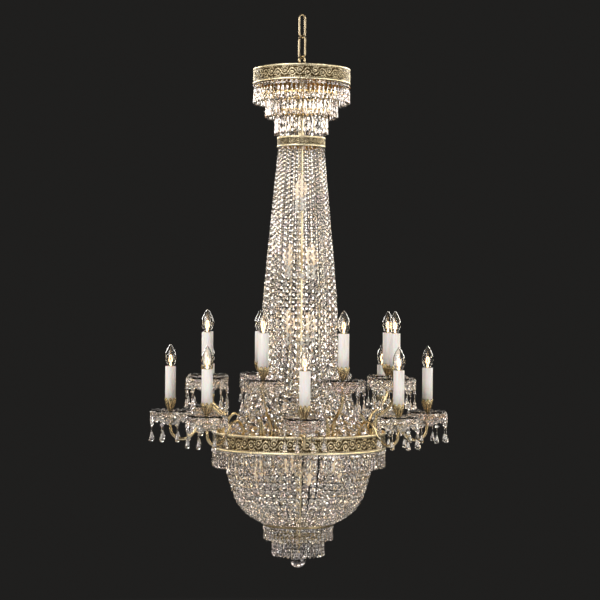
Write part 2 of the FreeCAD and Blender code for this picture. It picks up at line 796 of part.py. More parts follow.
def stand_bulbs(tier, seat, reach, first):
    """One bulb in each lampholder, each a piece of its own."""
    gap = 1.0
    one = bulb(gap)
    level = size(seat) + size("cup_floor") + size("sleeve_high")
    lift = size("cap_long") - gap - (size("socket_deep") + size("holder_short")) + 0.3
    for n in range(int(size("arm_count"))):
        turn = math.radians(first + n * 360.0 / size("arm_count"))
        x = size(reach) * math.cos(turn)
        y = size(reach) * math.sin(turn)
        at = Vector(x, y, level + max(lift, 0.0))
        feature(f"{tier}_bulb_{n + 1}", one.copy(), Placement(at, Rotation()))


def inner_lamp(up):
    """A lampholder block of a hidden lamp, with its socket at the upper or lower end."""
    high = size("lamp_holder_high")
    block = Part.makeCylinder(size("holder_radius"), high)
    bore = Part.makeCylinder(size("cap_radius") + size("cap_play"), size("socket_deep"),
                             Vector(0, 0, high - size("socket_deep")))
    holder = block.cut(bore)
    lamp = bulb(1.0)
    lamp.translate(Vector(0, 0, high))
    if not up:
        for shape in (holder, lamp):
            shape.rotate(Vector(0, 0, 0), Vector(1, 0, 0), 180.0)
    return holder, lamp


def make_hidden_lamps():
    """Pairs of lamps up the stem inside the tent, and a ring of lamps in the basket."""
    holders = []
    lamps = []
    out = size("column_lamp_out")
    for n in range(int(size("column_lamp_levels"))):
        level = size("neck_bottom") - size("column_lamp_first") - n * size("column_lamp_pitch")
        collar = Part.makeCylinder(size("hub_radius"), size("hub_high"), Vector(0, 0, level))
        pair = [collar]
        turn = size("column_lamp_turn") + n * size("column_lamp_step")
        for side in (0.0, 180.0):
            holder, lamp = inner_lamp(True)
            for shape in (holder, lamp):
                shape.translate(Vector(out, 0, level))
                shape.rotate(Vector(0, 0, 0), Vector(0, 0, 1), side + turn)
            bar = Part.makeBox(out - size("holder_radius") + 2.0, size("spoke_wide"), size("spoke_thick"),
                               Vector(0, -size("spoke_wide") / 2, level))
            bar.rotate(Vector(0, 0, 0), Vector(0, 0, 1), side + turn)
            pair += [holder, bar]
            lamps.append(lamp)
        bracket = pair[0].fuse(pair[1:])
        bore = Part.makeCylinder(size("bore"), 200.0, Vector(0, 0, level - 100.0))
        holders.append(bracket.cut(bore).removeSplitter())
    feature("column_lampholders", Part.makeCompound(holders))
    feature("column_bulbs", Part.makeCompound(lamps))
    holder, lamp = inner_lamp(False)
    low = size("ledge_top")
    for shape in (holder, lamp):
        shape.translate(Vector(size("basket_lamp_out"), 0, low))
    count = size("basket_lamp_count")
    feature("basket_lampholders", Part.makeCompound(ringed(holder, count, 11.25)))
    feature("basket_bulbs", Part.makeCompound(ringed(lamp, count, 11.25)))


def make_finial():
    """The turned cap under the stem with its eye, and the ball that swings from it."""
    wire = size("loop_wire")
    wide = size("loop_wide")
    high = size("finial_high")
    top = size("stem_bottom")
    cap = Part.makeCone(size("finial_radius") * 0.45, size("finial_radius"), high, Vector(0, 0, top - high))
    eye = ring_solid(Vector(0, 0, size("loop_centre")), wide, wire, Vector(0, 1, 0))
    feature("finial_cap", cap.fuse(eye).removeSplitter())
    centre = Vector(0, 0, size("ball_centre"))
    ball = Part.makeSphere(size("ball_radius"), centre)
    loop = ring_solid(Vector(0, 0, size("ball_loop")), wide, wire, Vector(1, 0, 0))
    neck_top = size("ball_loop") - wide / 2 + wire / 2
    neck = Part.makeCylinder(wire * 1.5, neck_top - centre.z, centre)
    feature("finial_ball", ball.fuse([neck, loop]).removeSplitter())


def check(thing):
    """Stop on a piece that failed, is empty or isn't valid."""
    states = set(thing.State)
    if "Invalid" in states or "Error" in states:
        raise RuntimeError(thing.Label + " failed to compute")
    if thing.isDerivedFrom("Part::Feature") and (thing.Shape.isNull() or not thing.Shape.isValid()):
        raise RuntimeError(thing.Label + " has a bad shape")


def write():
    """Check every object, then write each sub-part under its own name."""
    doc.recompute()
    for thing in doc.Objects:
        check(thing)
    os.makedirs("parts", exist_ok=True)
    for thing in subparts:
        thing.Shape.exportStep("parts/" + thing.Label + ".step")


make_chain()
make_stem()
make_crown()
make_column()
make_main_band()
make_basket()
make_arms()
make_leaves()
make_tier("lower", "lower_seat", "lower_reach", FRONT)
make_tier("upper", "upper_seat", "upper_reach", FRONT + 180.0 / size("arm_count"))
make_hidden_lamps()
make_finial()
write()
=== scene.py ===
"""A tented crystal chandelier, dressed over its solid model, in metres with +Z up."""

import logging
import math
import random
from collections.abc import Callable
from dataclasses import dataclass, field
from enum import Enum

import bmesh
import bpy
from mathutils import Matrix, Vector


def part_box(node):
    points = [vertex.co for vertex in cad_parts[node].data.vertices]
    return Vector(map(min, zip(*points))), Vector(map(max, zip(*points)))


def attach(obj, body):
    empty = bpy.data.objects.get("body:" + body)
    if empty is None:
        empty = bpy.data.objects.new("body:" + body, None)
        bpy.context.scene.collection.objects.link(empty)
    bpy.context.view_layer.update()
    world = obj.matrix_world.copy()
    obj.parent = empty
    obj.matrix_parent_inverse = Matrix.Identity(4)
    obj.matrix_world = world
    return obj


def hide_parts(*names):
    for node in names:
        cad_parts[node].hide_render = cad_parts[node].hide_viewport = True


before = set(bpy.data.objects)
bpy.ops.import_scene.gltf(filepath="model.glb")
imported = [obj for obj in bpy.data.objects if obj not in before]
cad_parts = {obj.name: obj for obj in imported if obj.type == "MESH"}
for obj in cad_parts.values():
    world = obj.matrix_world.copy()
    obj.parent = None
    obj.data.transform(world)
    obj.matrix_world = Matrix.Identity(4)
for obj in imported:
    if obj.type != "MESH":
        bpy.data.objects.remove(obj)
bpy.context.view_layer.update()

FRONT = -90.0

log = logging.getLogger("chandelier")

Point = tuple[float, float]
Place = tuple[float, float, float]
Colour = tuple[float, float, float]
Stops = list[tuple[float, Colour]]
Face = tuple[int, ...]
Shape = tuple[list[Vector], list[Face]]
Wave = Callable[[float, int], Point]


# ---------------------------------------------------------------- shader maths


class Wire:
    """A node socket that can be used in ordinary sums."""

    def __init__(self, painter: "Painter", socket: bpy.types.NodeSocket) -> None:
        """Keep the socket and the painter whose tree it is in."""
        self.painter = painter
        self.socket = socket

    def _math(self, operation: str, first: object, second: object) -> "Wire":
        """Add one Math node on two values."""
        return self.painter.node("ShaderNodeMath", {"operation": operation}, {0: first, 1: second})

    def __add__(self, other: object) -> "Wire":
        """Sum."""
        return self._math("ADD", self, other)

    def __radd__(self, other: object) -> "Wire":
        """Reflected sum."""
        return self._math("ADD", other, self)

    def __sub__(self, other: object) -> "Wire":
        """Difference."""
        return self._math("SUBTRACT", self, other)

    def __rsub__(self, other: object) -> "Wire":
        """Reflected difference."""
        return self._math("SUBTRACT", other, self)

    def __mul__(self, other: object) -> "Wire":
        """Product."""
        return self._math("MULTIPLY", self, other)

    def __rmul__(self, other: object) -> "Wire":
        """Reflected product."""
        return self._math("MULTIPLY", other, self)

    def __pow__(self, other: object) -> "Wire":
        """Power."""
        return self._math("POWER", self, other)

    def __rpow__(self, other: object) -> "Wire":
        """Reflected power."""
        return self._math("POWER", other, self)

    def __truediv__(self, other: object) -> "Wire":
        """Quotient."""
        return self._math("DIVIDE", self, other)

    def __rtruediv__(self, other: object) -> "Wire":
        """Reflected quotient."""
        return self._math("DIVIDE", other, self)

    def beside(self, output: str) -> "Wire":
        """Another output of the same node."""
        return Wire(self.painter, self.socket.node.outputs[output])

    def clamped(self) -> "Wire":
        """Hold the value between nothing and one."""
        return self.painter.node("ShaderNodeClamp", {}, {"Value": self})


class Painter:
    """Builds the nodes of one material, or of the air round the object."""

    def __init__(self, owner: bpy.types.Material | bpy.types.World) -> None:
        """Start with no nodes.

        Args:
            owner: the new material or world.
        """
        owner.use_nodes = True
        self.owner = owner
        self.tree = owner.node_tree
        self.tree.nodes.clear()

    @classmethod
    def of(cls, name: str) -> "Painter":
        """Start a new material."""
        return cls(bpy.data.materials.new(name))

    def node(self, kind: str, settings: dict, sockets: dict, output: int | str = 0) -> Wire:
        """Add a node, set it up and fill its sockets.

        Args:
            kind: the node's type.
            settings: its own settings; "stops" fills a colour ramp.
            sockets: values or wires by input name or number.
            output: which output is wanted.

        Returns:
            The chosen output as a wire, empty for a closing node.
        """
        made = self.tree.nodes.new(kind)
        for key, value in settings.items():
            if key == "stops":
                self._stops(made, value)
            else:
                setattr(made, key, value)
        for key, value in sockets.items():
            if isinstance(value, Wire):
                self.tree.links.new(value.socket, made.inputs[key])
            else:
                made.inputs[key].default_value = value
        return Wire(self, made.outputs[output] if len(made.outputs) else None)

    @staticmethod
    def _stops(made: bpy.types.Node, stops: Stops) -> None:
        """Fill the stops of a ramp.

        Args:
            made: the ramp's node.
            stops: (place, colour) pairs in rising order.
        """
        ramp = made.color_ramp
        while len(ramp.elements) < len(stops):
            ramp.elements.new(0.5)
        for element, (place, colour) in zip(ramp.elements, stops):
            element.position = place
            element.color = (*colour, 1.0)

    def ramp(self, value: Wire, stops: Stops) -> Wire:
        """Turn a value into a colour."""
        return self.node("ShaderNodeValToRGB", {"stops": stops}, {"Fac": value})

    def place(self) -> Wire:
        """The point on the piece, in the piece's own metres."""
        return self.node("ShaderNodeTexCoord", {}, {}, "Object")

    def noise(self, scale: float, detail: float, where: Wire | None = None) -> Wire:
        """Cloudy noise over the piece, or over other coordinates."""
        sockets = {"Vector": where or self.place(), "Scale": scale, "Detail": detail}
        return self.node("ShaderNodeTexNoise", {}, sockets, "Fac")

    def cells(self, scale: float) -> Wire:
        """Distance to the nearest of many scattered points."""
        sockets = {"Vector": self.place(), "Scale": scale}
        return self.node("ShaderNodeTexVoronoi", {}, sockets, "Distance")

    def each(self) -> Wire:
        """A random number, the same all over one loose part of the mesh."""
        return self.node("ShaderNodeNewGeometry", {}, {}, "Random Per Island")

    def edges(self) -> Wire:
        """High on worn edges and low in hollows."""
        return self.node("ShaderNodeNewGeometry", {}, {}, "Pointiness")

    def reach(self) -> Wire:
        """The distance from the stem's axis.

        Returns:
            The distance in metres, as a wire.
        """
        east = self.node("ShaderNodeSeparateXYZ", {}, {"Vector": self.place()}, "X")
        north = east.beside("Y")
        return (east * east + north * north) ** 0.5

    def bump(self, height: Wire, distance: float, strength: float) -> Wire:
        """Raise the surface by a height."""
        sockets = {"Strength": strength, "Distance": distance, "Height": height}
        return self.node("ShaderNodeBump", {}, sockets)

    def finish(self, sockets: dict) -> bpy.types.Material:
        """Close the material with one principled surface.

        Args:
            sockets: the surface's values and wires by name.

        Returns:
            The finished material.
        """
        surface = self.node("ShaderNodeBsdfPrincipled", {}, sockets)
        self.node("ShaderNodeOutputMaterial", {}, {"Surface": surface})
        return self.owner


# -------------------------------------------------------------------- finishes


@dataclass(frozen=True)
class Gilt:
    """Gilt brass, lighter and darker in soft clouds and finely brushed."""

    name: str
    light: Colour = (0.82, 0.68, 0.42)
    dark: Colour = (0.40, 0.29, 0.14)
    rough: float = 0.14
    rough_drop: float = 0.06
    rough_spread: float = 0.22
    cloud_scale: float = 45.0
    fine_scale: float = 420.0
    tarnish: Point = (0.15, 0.75)
    brushed: Point = (0.00008, 0.5)

    def tone(self, brush: Painter) -> Wire:
        """Where the brass is light, in soft clouds."""
        return brush.noise(self.cloud_scale, 4.0)

    def skin(self, brush: Painter, fine: Wire) -> Wire:
        """The fine brushing of the surface."""
        return brush.bump(fine, *self.brushed)

    def paint(self) -> bpy.types.Material:
        """Make the material.

        Returns:
            The finished material.
        """
        brush = Painter.of(self.name)
        from_dark, to_light = self.tarnish
        stops = [(from_dark, self.dark), (to_light, self.light)]
        colour = brush.ramp(self.tone(brush), stops)
        fine = brush.noise(self.fine_scale, 3.0)
        rough = (fine * self.rough_spread + (self.rough - self.rough_drop)).clamped()
        return brush.finish({
            "Base Color": colour,
            "Metallic": 1.0,
            "Roughness": rough,
            "Normal": self.skin(brush, fine),
        })


@dataclass(frozen=True)
class CastGilt(Gilt):
    """Cast gilt brass: pitted and worn bright on its edges, with painted shade darkening its
    hollows.
    """

    edge: float = 0.44
    edge_wear_and_hollow_shade_gain: float = 9.0
    cloud_share: float = 0.5
    pits: float = 900.0
    pitted: Point = (0.0006, 0.7)

    def tone(self, brush: Painter) -> Wire:
        """Where the brass is light: on its worn edges and in soft clouds; its hollows go dark as
        painted shade.
        """
        cloud = super().tone(brush) - 0.5
        # Low pointiness in the hollows pulls the colour to the near-black dark tone, which is
        # painted shade; high pointiness on the edges gives the worn light tone.
        return ((brush.edges() - self.edge) * self.edge_wear_and_hollow_shade_gain + cloud * self.cloud_share).clamped()

    def skin(self, brush: Painter, fine: Wire) -> Wire:
        """The small pits that the mould leaves."""
        return brush.bump(brush.cells(self.pits), *self.pitted)


@dataclass(frozen=True)
class PressedPaintedShade:
    """Pressed gilt brass, with painted shade in the ground of its ornament and a painted highlight
    on the raised parts.
    """

    name: str
    radius: float
    rise: float
    # The light tone is a painted highlight on the raised ornament; the near-black dark tone is
    # painted shade in its ground.
    light: Colour = (0.96, 0.83, 0.56)
    dark: Colour = (0.050, 0.033, 0.012)
    middle: float = 0.45
    gain: float = 1.5
    cloud_share: float = 0.9
    recess_shade_offset: float = 0.14
    steps: tuple[float, ...] = (0.08, 0.5, 0.85)
    rough: float = 0.16
    rough_spread: float = 0.25
    cloud_scale: float = 60.0
    fine_scale: float = 500.0
    grain: float = 800.0
    grained: Point = (0.0005, 0.6)

    def paint(self) -> bpy.types.Material:
        """Make the material.

        Returns:
            The finished material.
        """
        brush = Painter.of(self.name)
        cloud = brush.noise(self.cloud_scale, 4.0)
        # Painted shade and highlight: the colour runs from near black in the ground of the relief
        # to light on its raised parts.
        height = (brush.reach() - self.radius) / self.rise
        tone = (height * self.gain + (cloud - 0.5) * self.cloud_share - self.recess_shade_offset).clamped()
        middle = tuple((a + b) * self.middle for a, b in zip(self.light, self.dark))
        colour = brush.ramp(tone, list(zip(self.steps, (self.dark, middle, self.light))))
        fine = brush.noise(self.fine_scale, 3.0)
        return brush.finish({
            "Base Color": colour,
            "Metallic": 1.0,
            "Roughness": (fine * self.rough_spread + self.rough).clamped(),
            "Normal": brush.bump(brush.cells(self.grain), *self.grained),
        })


@dataclass(frozen=True)
class Crystal:
    """Clear cut crystal, each stone a slightly different tint."""

    name: str
    tone: float = 1.0
    index: float = 1.56
    scuff_scale: float = 300.0
    scuffed: float = 0.03
    tints: tuple[tuple[float, Colour], ...] = (
        (0.0, (0.98, 0.95, 0.91)),
        (0.35, (0.99, 0.96, 0.89)),
        (0.6, (0.96, 0.88, 0.89)),
        (0.8, (1.0, 0.91, 0.76)),
        (1.0, (0.93, 0.91, 0.93)),
    )

    def paint(self) -> bpy.types.Material:
        """Make the material.

        Returns:
            The finished material.
        """
        brush = Painter.of(self.name)
        stops = [(place, tuple(self.tone * c for c in tint)) for place, tint in self.tints]
        scuff = brush.noise(self.scuff_scale, 2.0)
        return brush.finish({
            "Base Color": brush.ramp(brush.each(), stops),
            "Transmission Weight": 1.0,
            "IOR": self.index,
            "Roughness": (scuff * self.scuffed).clamped(),
        })


@dataclass(frozen=True)
class Ivory:
    """The satin card of a candle sleeve, faintly streaked along its length."""

    name: str
    light: Colour = (0.88, 0.82, 0.80)
    warm: Colour = (0.86, 0.76, 0.68)
    streaks: Place = (260.0, 260.0, 12.0)
    rough: float = 0.38
    rough_spread: float = 0.2
    glow_through: float = 0.25
    glow_depth: float = 0.004
    ribbed: Point = (0.00012, 0.4)

    def paint(self) -> bpy.types.Material:
        """Make the material.

        Returns:
            The finished material.
        """
        brush = Painter.of(self.name)
        sockets = {"Vector": brush.place(), "Scale": self.streaks}
        stretched = brush.node("ShaderNodeMapping", {}, sockets)
        streak = brush.noise(1.0, 2.0, stretched)
        return brush.finish({
            "Base Color": brush.ramp(streak, [(0.25, self.warm), (0.55, self.light)]),
            "Roughness": (streak * self.rough_spread + self.rough).clamped(),
            "Subsurface Weight": self.glow_through,
            "Subsurface Scale": self.glow_depth,
            "Normal": brush.bump(streak, *self.ribbed),
        })


@dataclass(frozen=True)
class BlownGlass:
    """The clear glass of a candle bulb."""

    name: str
    warm: Colour = (1.0, 0.97, 0.92)
    clear: Colour = (1.0, 0.99, 0.97)
    index: float = 1.45
    cloud_scale: float = 60.0
    smeared: float = 0.02

    def paint(self) -> bpy.types.Material:
        """Make the material.

        Returns:
            The finished material.
        """
        brush = Painter.of(self.name)
        cloud = brush.noise(self.cloud_scale, 2.0)
        return brush.finish({
            "Base Color": brush.ramp(cloud, [(0.3, self.warm), (0.7, self.clear)]),
            "Transmission Weight": 1.0,
            "IOR": self.index,
            "Roughness": (cloud * self.smeared).clamped(),
        })


@dataclass(frozen=True)
class Glow:
    """A lit surface: brighter in some places than others."""

    name: str
    deep: Colour
    strength: float
    scale: float = 90.0
    colour: Colour = (1.0, 0.74, 0.42)
    unlit: Colour = (0.9, 0.85, 0.75)
    rough: float = 0.3
    rough_spread: float = 0.3

    def paint(self) -> bpy.types.Material:
        """Make the material.

        Returns:
            The finished material.
        """
        brush = Painter.of(self.name)
        cloud = brush.noise(self.scale, 2.0)
        return brush.finish({
            "Base Color": (*self.unlit, 1.0),
            "Roughness": (cloud * self.rough_spread + self.rough).clamped(),
            "Emission Color": brush.ramp(cloud, [(0.3, self.deep), (0.7, self.colour)]),
            "Emission Strength": self.strength,
        })


@dataclass(frozen=True)
class Glazed:
    """White glazed ceramic, a little crazed."""

    name: str
    shade: Colour = (0.72, 0.70, 0.64)
    white: Colour = (0.82, 0.80, 0.75)
    rough: float = 0.15
    rough_spread: float = 0.3
    cloud_scale: float = 70.0
    craze_scale: float = 160.0
    crazed: Point = (0.0001, 0.3)

    def paint(self) -> bpy.types.Material:
        """Make the material.

        Returns:
            The finished material.
        """
        brush = Painter.of(self.name)
        cloud = brush.noise(self.cloud_scale, 4.0)
        return brush.finish({
            "Base Color": brush.ramp(cloud, [(0.3, self.shade), (0.7, self.white)]),
            "Roughness": (cloud * self.rough_spread + self.rough).clamped(),
            "Normal": brush.bump(brush.cells(self.craze_scale), *self.crazed),
        })


@dataclass(frozen=True)
class Plaster:
    """The plain pale floor, which fades out far from the object."""

    name: str
    tone: float = 0.55
    mottled: float = 0.98
    rough: float = 0.7
    near: float = 3.5
    far: float = 7.0
    cloud_scale: float = 2.0

    def paint(self) -> bpy.types.Material:
        """Make the material.

        Returns:
            The finished material.
        """
        brush = Painter.of(self.name)
        cloud = brush.noise(self.cloud_scale, 4.0)
        low = (self.tone * self.mottled,) * 3
        high = (self.tone,) * 3
        fade = ((self.far - brush.reach()) / (self.far - self.near)).clamped()
        return brush.finish({
            "Base Color": brush.ramp(cloud, [(0.3, low), (0.7, high)]),
            "Roughness": self.rough,
            "Alpha": fade,
        })


class Finish(Enum):
    """The finishes that the chandelier is made in."""

    GILT = Gilt("gilt")
    RICH = Gilt("rich_gilt", (0.95, 0.70, 0.32), (0.70, 0.46, 0.18), 0.3)
    PLAIN = Gilt("plain_brass", (0.60, 0.50, 0.33), (0.34, 0.26, 0.15), 0.26)
    AGED = Gilt("aged_brass", (0.42, 0.34, 0.20), (0.22, 0.16, 0.08), 0.34)
    PALE = Gilt("pale_brass", (0.78, 0.68, 0.47), (0.55, 0.45, 0.28), 0.24)
    # The cast brass's near-black dark tone is painted shade in the hollows of the cups and leaves.
    CAST = CastGilt("cast_brass", (0.52, 0.42, 0.24), (0.06, 0.042, 0.018))
    CRYSTAL = Crystal("crystal")
    PAN = Crystal("pan_crystal", index=1.54)
    THIN = Crystal("thin_crystal", index=1.46)
    SMOKY = Crystal("smoky_crystal", tone=0.8)
    BLOWN = BlownGlass("blown_glass")
    IVORY = Ivory("ivory")
    GLAZED = Glazed("glazed")
    FILAMENT = Glow("filament", (1.0, 0.60, 0.28), 3.5)
    LAMP_GLOW = Glow("lamp_glow", (0.9, 0.50, 0.20), 0.42, 60.0)


Palette = dict[Finish, bpy.types.Material]


# --------------------------------------------------------------- making meshes


@dataclass
class Sheet:
    """Collects the points and faces of one piece before it is made."""

    points: list[Vector] = field(default_factory=list)
    faces: list[Face] = field(default_factory=list)
    soft: list[bool] = field(default_factory=list)
    finish_of: list[int] = field(default_factory=list)

    def add(self, shape: Shape, soft: bool, finish: int = 0) -> None:
        """Add a shape.

        Args:
            shape: its points, and its faces by place in them.
            soft: whether the faces are smooth shaded.
            finish: which of the piece's finishes they take.
        """
        points, faces = shape
        base = len(self.points)
        self.points.extend(points)
        for face in faces:
            self.faces.append(tuple(base + n for n in face))
            self.soft.append(soft)
            self.finish_of.append(finish)

    def made(self, name: str, finishes: list[bpy.types.Material]) -> bpy.types.Object:
        """Make the object.

        Args:
            name: the piece's name.
            finishes: its materials, in order.

        Returns:
            The new object, linked into the scene.
        """
        mesh = bpy.data.meshes.new(name)
        mesh.from_pydata([tuple(p) for p in self.points], [], self.faces)
        mesh.polygons.foreach_set("use_smooth", self.soft)
        for finish in finishes:
            mesh.materials.append(finish)
        mesh.polygons.foreach_set("material_index", self.finish_of)
        body = bmesh.new()
        body.from_mesh(mesh)
        bmesh.ops.recalc_face_normals(body, faces=body.faces)
        body.to_mesh(mesh)
        body.free()
        piece = bpy.data.objects.new(name, mesh)
        bpy.context.scene.collection.objects.link(piece)
        log.info("%s: %d faces", name, len(self.faces))
        return piece

    def mounted(self, name: str, finishes: list[bpy.types.Material], body: str, slot: str,
                node: str = "") -> None:
        """Make the piece, let it ride on a body and put it in the place of a solid.

        Args:
            name: the piece's name.
            finishes: its materials, in order.
            body: the body that it moves with.
            slot: the record's material slot; not used.
            node: the solid that it stands for, if any.
        """
        piece = self.made(name, finishes)
        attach(piece, body)
        if node:
            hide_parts(node)


def circle(radius: float, height: float, sides: int) -> list[Vector]:
    """A level ring of points about the upright axis.

    Args:
        radius: its radius.
        height: its height.
        sides: how many points it has.

    Returns:
        The points, from due east round to the north.
    """
    turns = [math.tau * n / sides for n in range(sides)]
    return [Vector((radius * math.cos(turn), radius * math.sin(turn), height)) for turn in turns]


def stack(rings: list[list[Vector]], ends: bool = True, loop: bool = False) -> Shape:
    """Join rings of points with four-sided faces.

    Args:
        rings: equal rings of points, one after another.
        ends: whether the first and last rings are closed with a face.
        loop: whether the last ring joins the first.

    Returns:
        The points and the faces.
    """
    count = len(rings[0])
    points = [p for ring in rings for p in ring]
    faces: list[Face] = []
    for row in range(len(rings) if loop else len(rings) - 1):
        low = row * count
        high = ((row + 1) % len(rings)) * count
        for n in range(count):
            m = (n + 1) % count
            faces.append((low + n, low + m, high + m, high + n))
    if ends and not loop:
        faces.append(tuple(reversed(range(count))))
        faces.append(tuple(range(len(points) - count, len(points))))
    return points, faces


def lathe(profile: list[Point], sides: int, wave: Wave | None = None) -> Shape:
    """Turn a profile of (radius, height) about the upright axis.

    Args:
        profile: the outline, from one end to the other.
        sides: how many sides the turning has.
        wave: a factor on the radius and a lift by angle and row, for lobes and petals.

    Returns:
        The points and the faces.
    """
    rings = []
    for row, (radius, height) in enumerate(profile):
        ring = []
        for n in range(sides):
            angle = math.tau * n / sides
            factor, lift = wave(angle, row) if wave else (1.0, 0.0)
            reach = radius * factor
            ring.append(Vector((reach * math.cos(angle), reach * math.sin(angle), height + lift)))
        rings.append(ring)
    closed = profile[0] == profile[-1]
    if closed:
        rings.pop()
    return stack(rings, ends=not closed, loop=closed)


def twisted(levels: list[Point], sides: int, flat: float = 1.0) -> Shape:
    """A cut stone: rings turned by half a side against each other, with kite facets.

    Args:
        levels: (half width, height) of each ring, from the top down.
        sides: how many sides each ring has.
        flat: the depth of the stone as a share of its width.

    Returns:
        The points and the faces.
    """
    points: list[Vector] = []
    for row, (half, height) in enumerate(levels):
        for n in range(sides):
            angle = math.tau * (n + 0.5 * (row % 2)) / sides
            points.append(Vector((half * math.cos(angle) * flat, half * math.sin(angle), height)))
    faces: list[Face] = []
    for row in range(len(levels) - 1):
        low = row * sides
        high = low + sides
        for n in range(sides):
            m = (n + 1) % sides
            if row % 2:
                faces.append((low + n, high + m, high + n))
                faces.append((low + n, low + m, high + m))
            else:
                faces.append((low + n, low + m, high + n))
                faces.append((low + m, high + m, high + n))
    faces.append(tuple(reversed(range(sides))))
    faces.append(tuple(range(len(points) - sides, len(points))))
    return points, faces


def sweep(path: list[Vector], side: Vector, radius: Callable[[float], float], sides: int,
          flute: float = 0.0) -> Shape:
    """Run a round section along a path that lies in one plane.

    Args:
        path: the points of the centre line.
        side: a direction square to the plane of the path.
        radius: the radius by share of the way along.
        sides: how many sides the section has.
        flute: how deep every second corner of the section is cut in.

    Returns:
        The points and the faces.
    """
    rings = []
    for n, point in enumerate(path):
        before = path[max(n - 1, 0)]
        after = path[min(n + 1, len(path) - 1)]
        way = (after - before).normalized()
        out = way.cross(side).normalized()
        reach = radius(n / (len(path) - 1))
        ring = []
        for k in range(sides):
            angle = math.tau * k / sides
            depth = reach * (1.0 - (flute if k % 2 else 0.0))
            ring.append(point + depth * (math.cos(angle) * out + math.sin(angle) * side))
        rings.append(ring)
    return stack(rings)


def moved(shape: Shape, matrix: Matrix) -> Shape:
    """Carry a shape to another place."""
    points, faces = shape
    return [matrix @ p for p in points], faces


def turned_to(angle: float) -> Matrix:
    """A turn about the upright axis, in degrees."""
    return Matrix.Rotation(math.radians(angle), 4, "Z")


def at(x: float, y: float, z: float) -> Matrix:
    """A move without a turn."""
    return Matrix.Translation((x, y, z))


def along(start: Vector, end: Vector) -> Matrix:
    """A frame whose Z runs from one point to another.

    Args:
        start: the first point, where the frame starts.
        end: the second point.

    Returns:
        The frame, with its Y as near as it can be to the north.
    """
    way = (end - start).normalized()
    across = Vector((0.0, 1.0, 0.0))
    out = across.cross(way).normalized()
    across = way.cross(out)
    basis = Matrix((out, across, way)).transposed().to_4x4()
    basis.translation = start
    return basis


def eased(start: float, end: float, leave: float, arrive: float, share: float) -> float:
    """A value between two others, which starts and ends at given slopes.

    Args:
        start: the first value.
        end: the last value.
        leave: the slope at the first, over the whole span.
        arrive: the slope at the last, over the whole span.
        share: how far along the span.

    Returns:
        The value.
    """
    u = share
    from_start = 2 * u**3 - 3 * u**2 + 1
    from_leave = u**3 - 2 * u**2 + u
    from_end = -2 * u**3 + 3 * u**2
    from_arrive = u**3 - u**2
    return from_start * start + from_leave * leave + from_end * end + from_arrive * arrive


def smooth_track(points: list[Point], count: int = 600) -> list[Vector]:
    """A smooth line through (radius, height) points in the upright plane.

    Args:
        points: the points to pass through.
        count: how many steps the line has.

    Returns:
        The line's points.
    """
    knots = [0.0]
    for (r0, z0), (r1, z1) in zip(points, points[1:]):
        knots.append(knots[-1] + math.hypot(r1 - r0, z1 - z0))
    slopes = []
    for n in range(len(points)):
        low = max(n - 1, 0)
        high = min(n + 1, len(points) - 1)
        span = knots[high] - knots[low]
        slopes.append([(points[high][k] - points[low][k]) / span for k in (0, 1)])
    line = []
    piece = 0
    for step in range(count + 1):
        reach = knots[-1] * step / count
        while piece < len(points) - 2 and reach > knots[piece + 1]:
            piece += 1
        span = knots[piece + 1] - knots[piece]
        share = (reach - knots[piece]) / span
        radius, height = (
            eased(points[piece][k], points[piece + 1][k],
                  slopes[piece][k] * span, slopes[piece + 1][k] * span, share)
            for k in (0, 1)
        )
        line.append(Vector((radius, 0.0, height)))
    return line


def point_along(line: list[Vector], run: list[float], reach: float) -> Vector:
    """The point of a line at a distance along it.

    Args:
        line: the line's points.
        run: the distance along the line to each of them.
        reach: the wanted distance.

    Returns:
        The point.
    """
    for n in range(1, len(line)):
        if run[n] >= reach or n == len(line) - 1:
            share = (reach - run[n - 1]) / (run[n] - run[n - 1])
            return line[n - 1].lerp(line[n], min(share, 1.0))
    return line[-1]


# ---------------------------------------------------------------- cut crystals


@dataclass(frozen=True)
class Pattern:
    """How a stone is cut: (width, depth down) of its rings as shares of its size."""

    levels: tuple[Point, ...]
    sides: int
    flat: float = 1.0

    def cut(self, wide: float, long: float) -> Shape:
        """One stone hanging down from nothing."""
        return twisted([(wide / 2 * w, -long * t) for w, t in self.levels], self.sides, self.flat)


@dataclass(frozen=True)
class Slab:
    """How a flat eight-sided stone is cut: (width, depth through) of its rings."""

    levels: tuple[Point, ...]
    sides: int = 8

    def cut(self, wide: float, long: float) -> Shape:
        """One stone hanging down from nothing.

        Args:
            wide: its width.
            long: its length.

        Returns:
            The points and the faces.
        """
        rings = []
        for w, depth in self.levels:
            ring = []
            for n in range(self.sides):
                angle = math.tau * (n + 0.5) / self.sides
                up = wide / 2 * w * math.sin(angle) * long / wide
                across = wide / 2 * w * math.cos(angle)
                ring.append(Vector((depth * wide, across, up - long / 2)))
            rings.append(ring)
        return stack(rings)


class Cut(Enum):
    """The ways a stone is cut."""

    BEAD = Pattern(((0.34, 0.0), (0.86, 0.2), (1.0, 0.5), (0.86, 0.8), (0.34, 1.0)), 7)
    PEAR = Pattern(
        (
            (0.16, 0.0), (0.24, 0.2), (0.34, 0.45), (0.72, 0.68), (1.0, 0.84), (0.86, 0.95),
            (0.3, 1.0),
        ),
        8,
    )
    SPEAR = Pattern(
        (
            (0.3, 0.0), (0.62, 0.1), (0.72, 0.34), (0.86, 0.6), (1.0, 0.82), (0.7, 0.93),
            (0.15, 1.0),
        ),
        6,
        0.62,
    )
    OCTAGON = Slab(((0.5, -0.3), (1.0, -0.07), (1.0, 0.07), (0.5, 0.3)))


Stone = tuple[Cut, float, float]


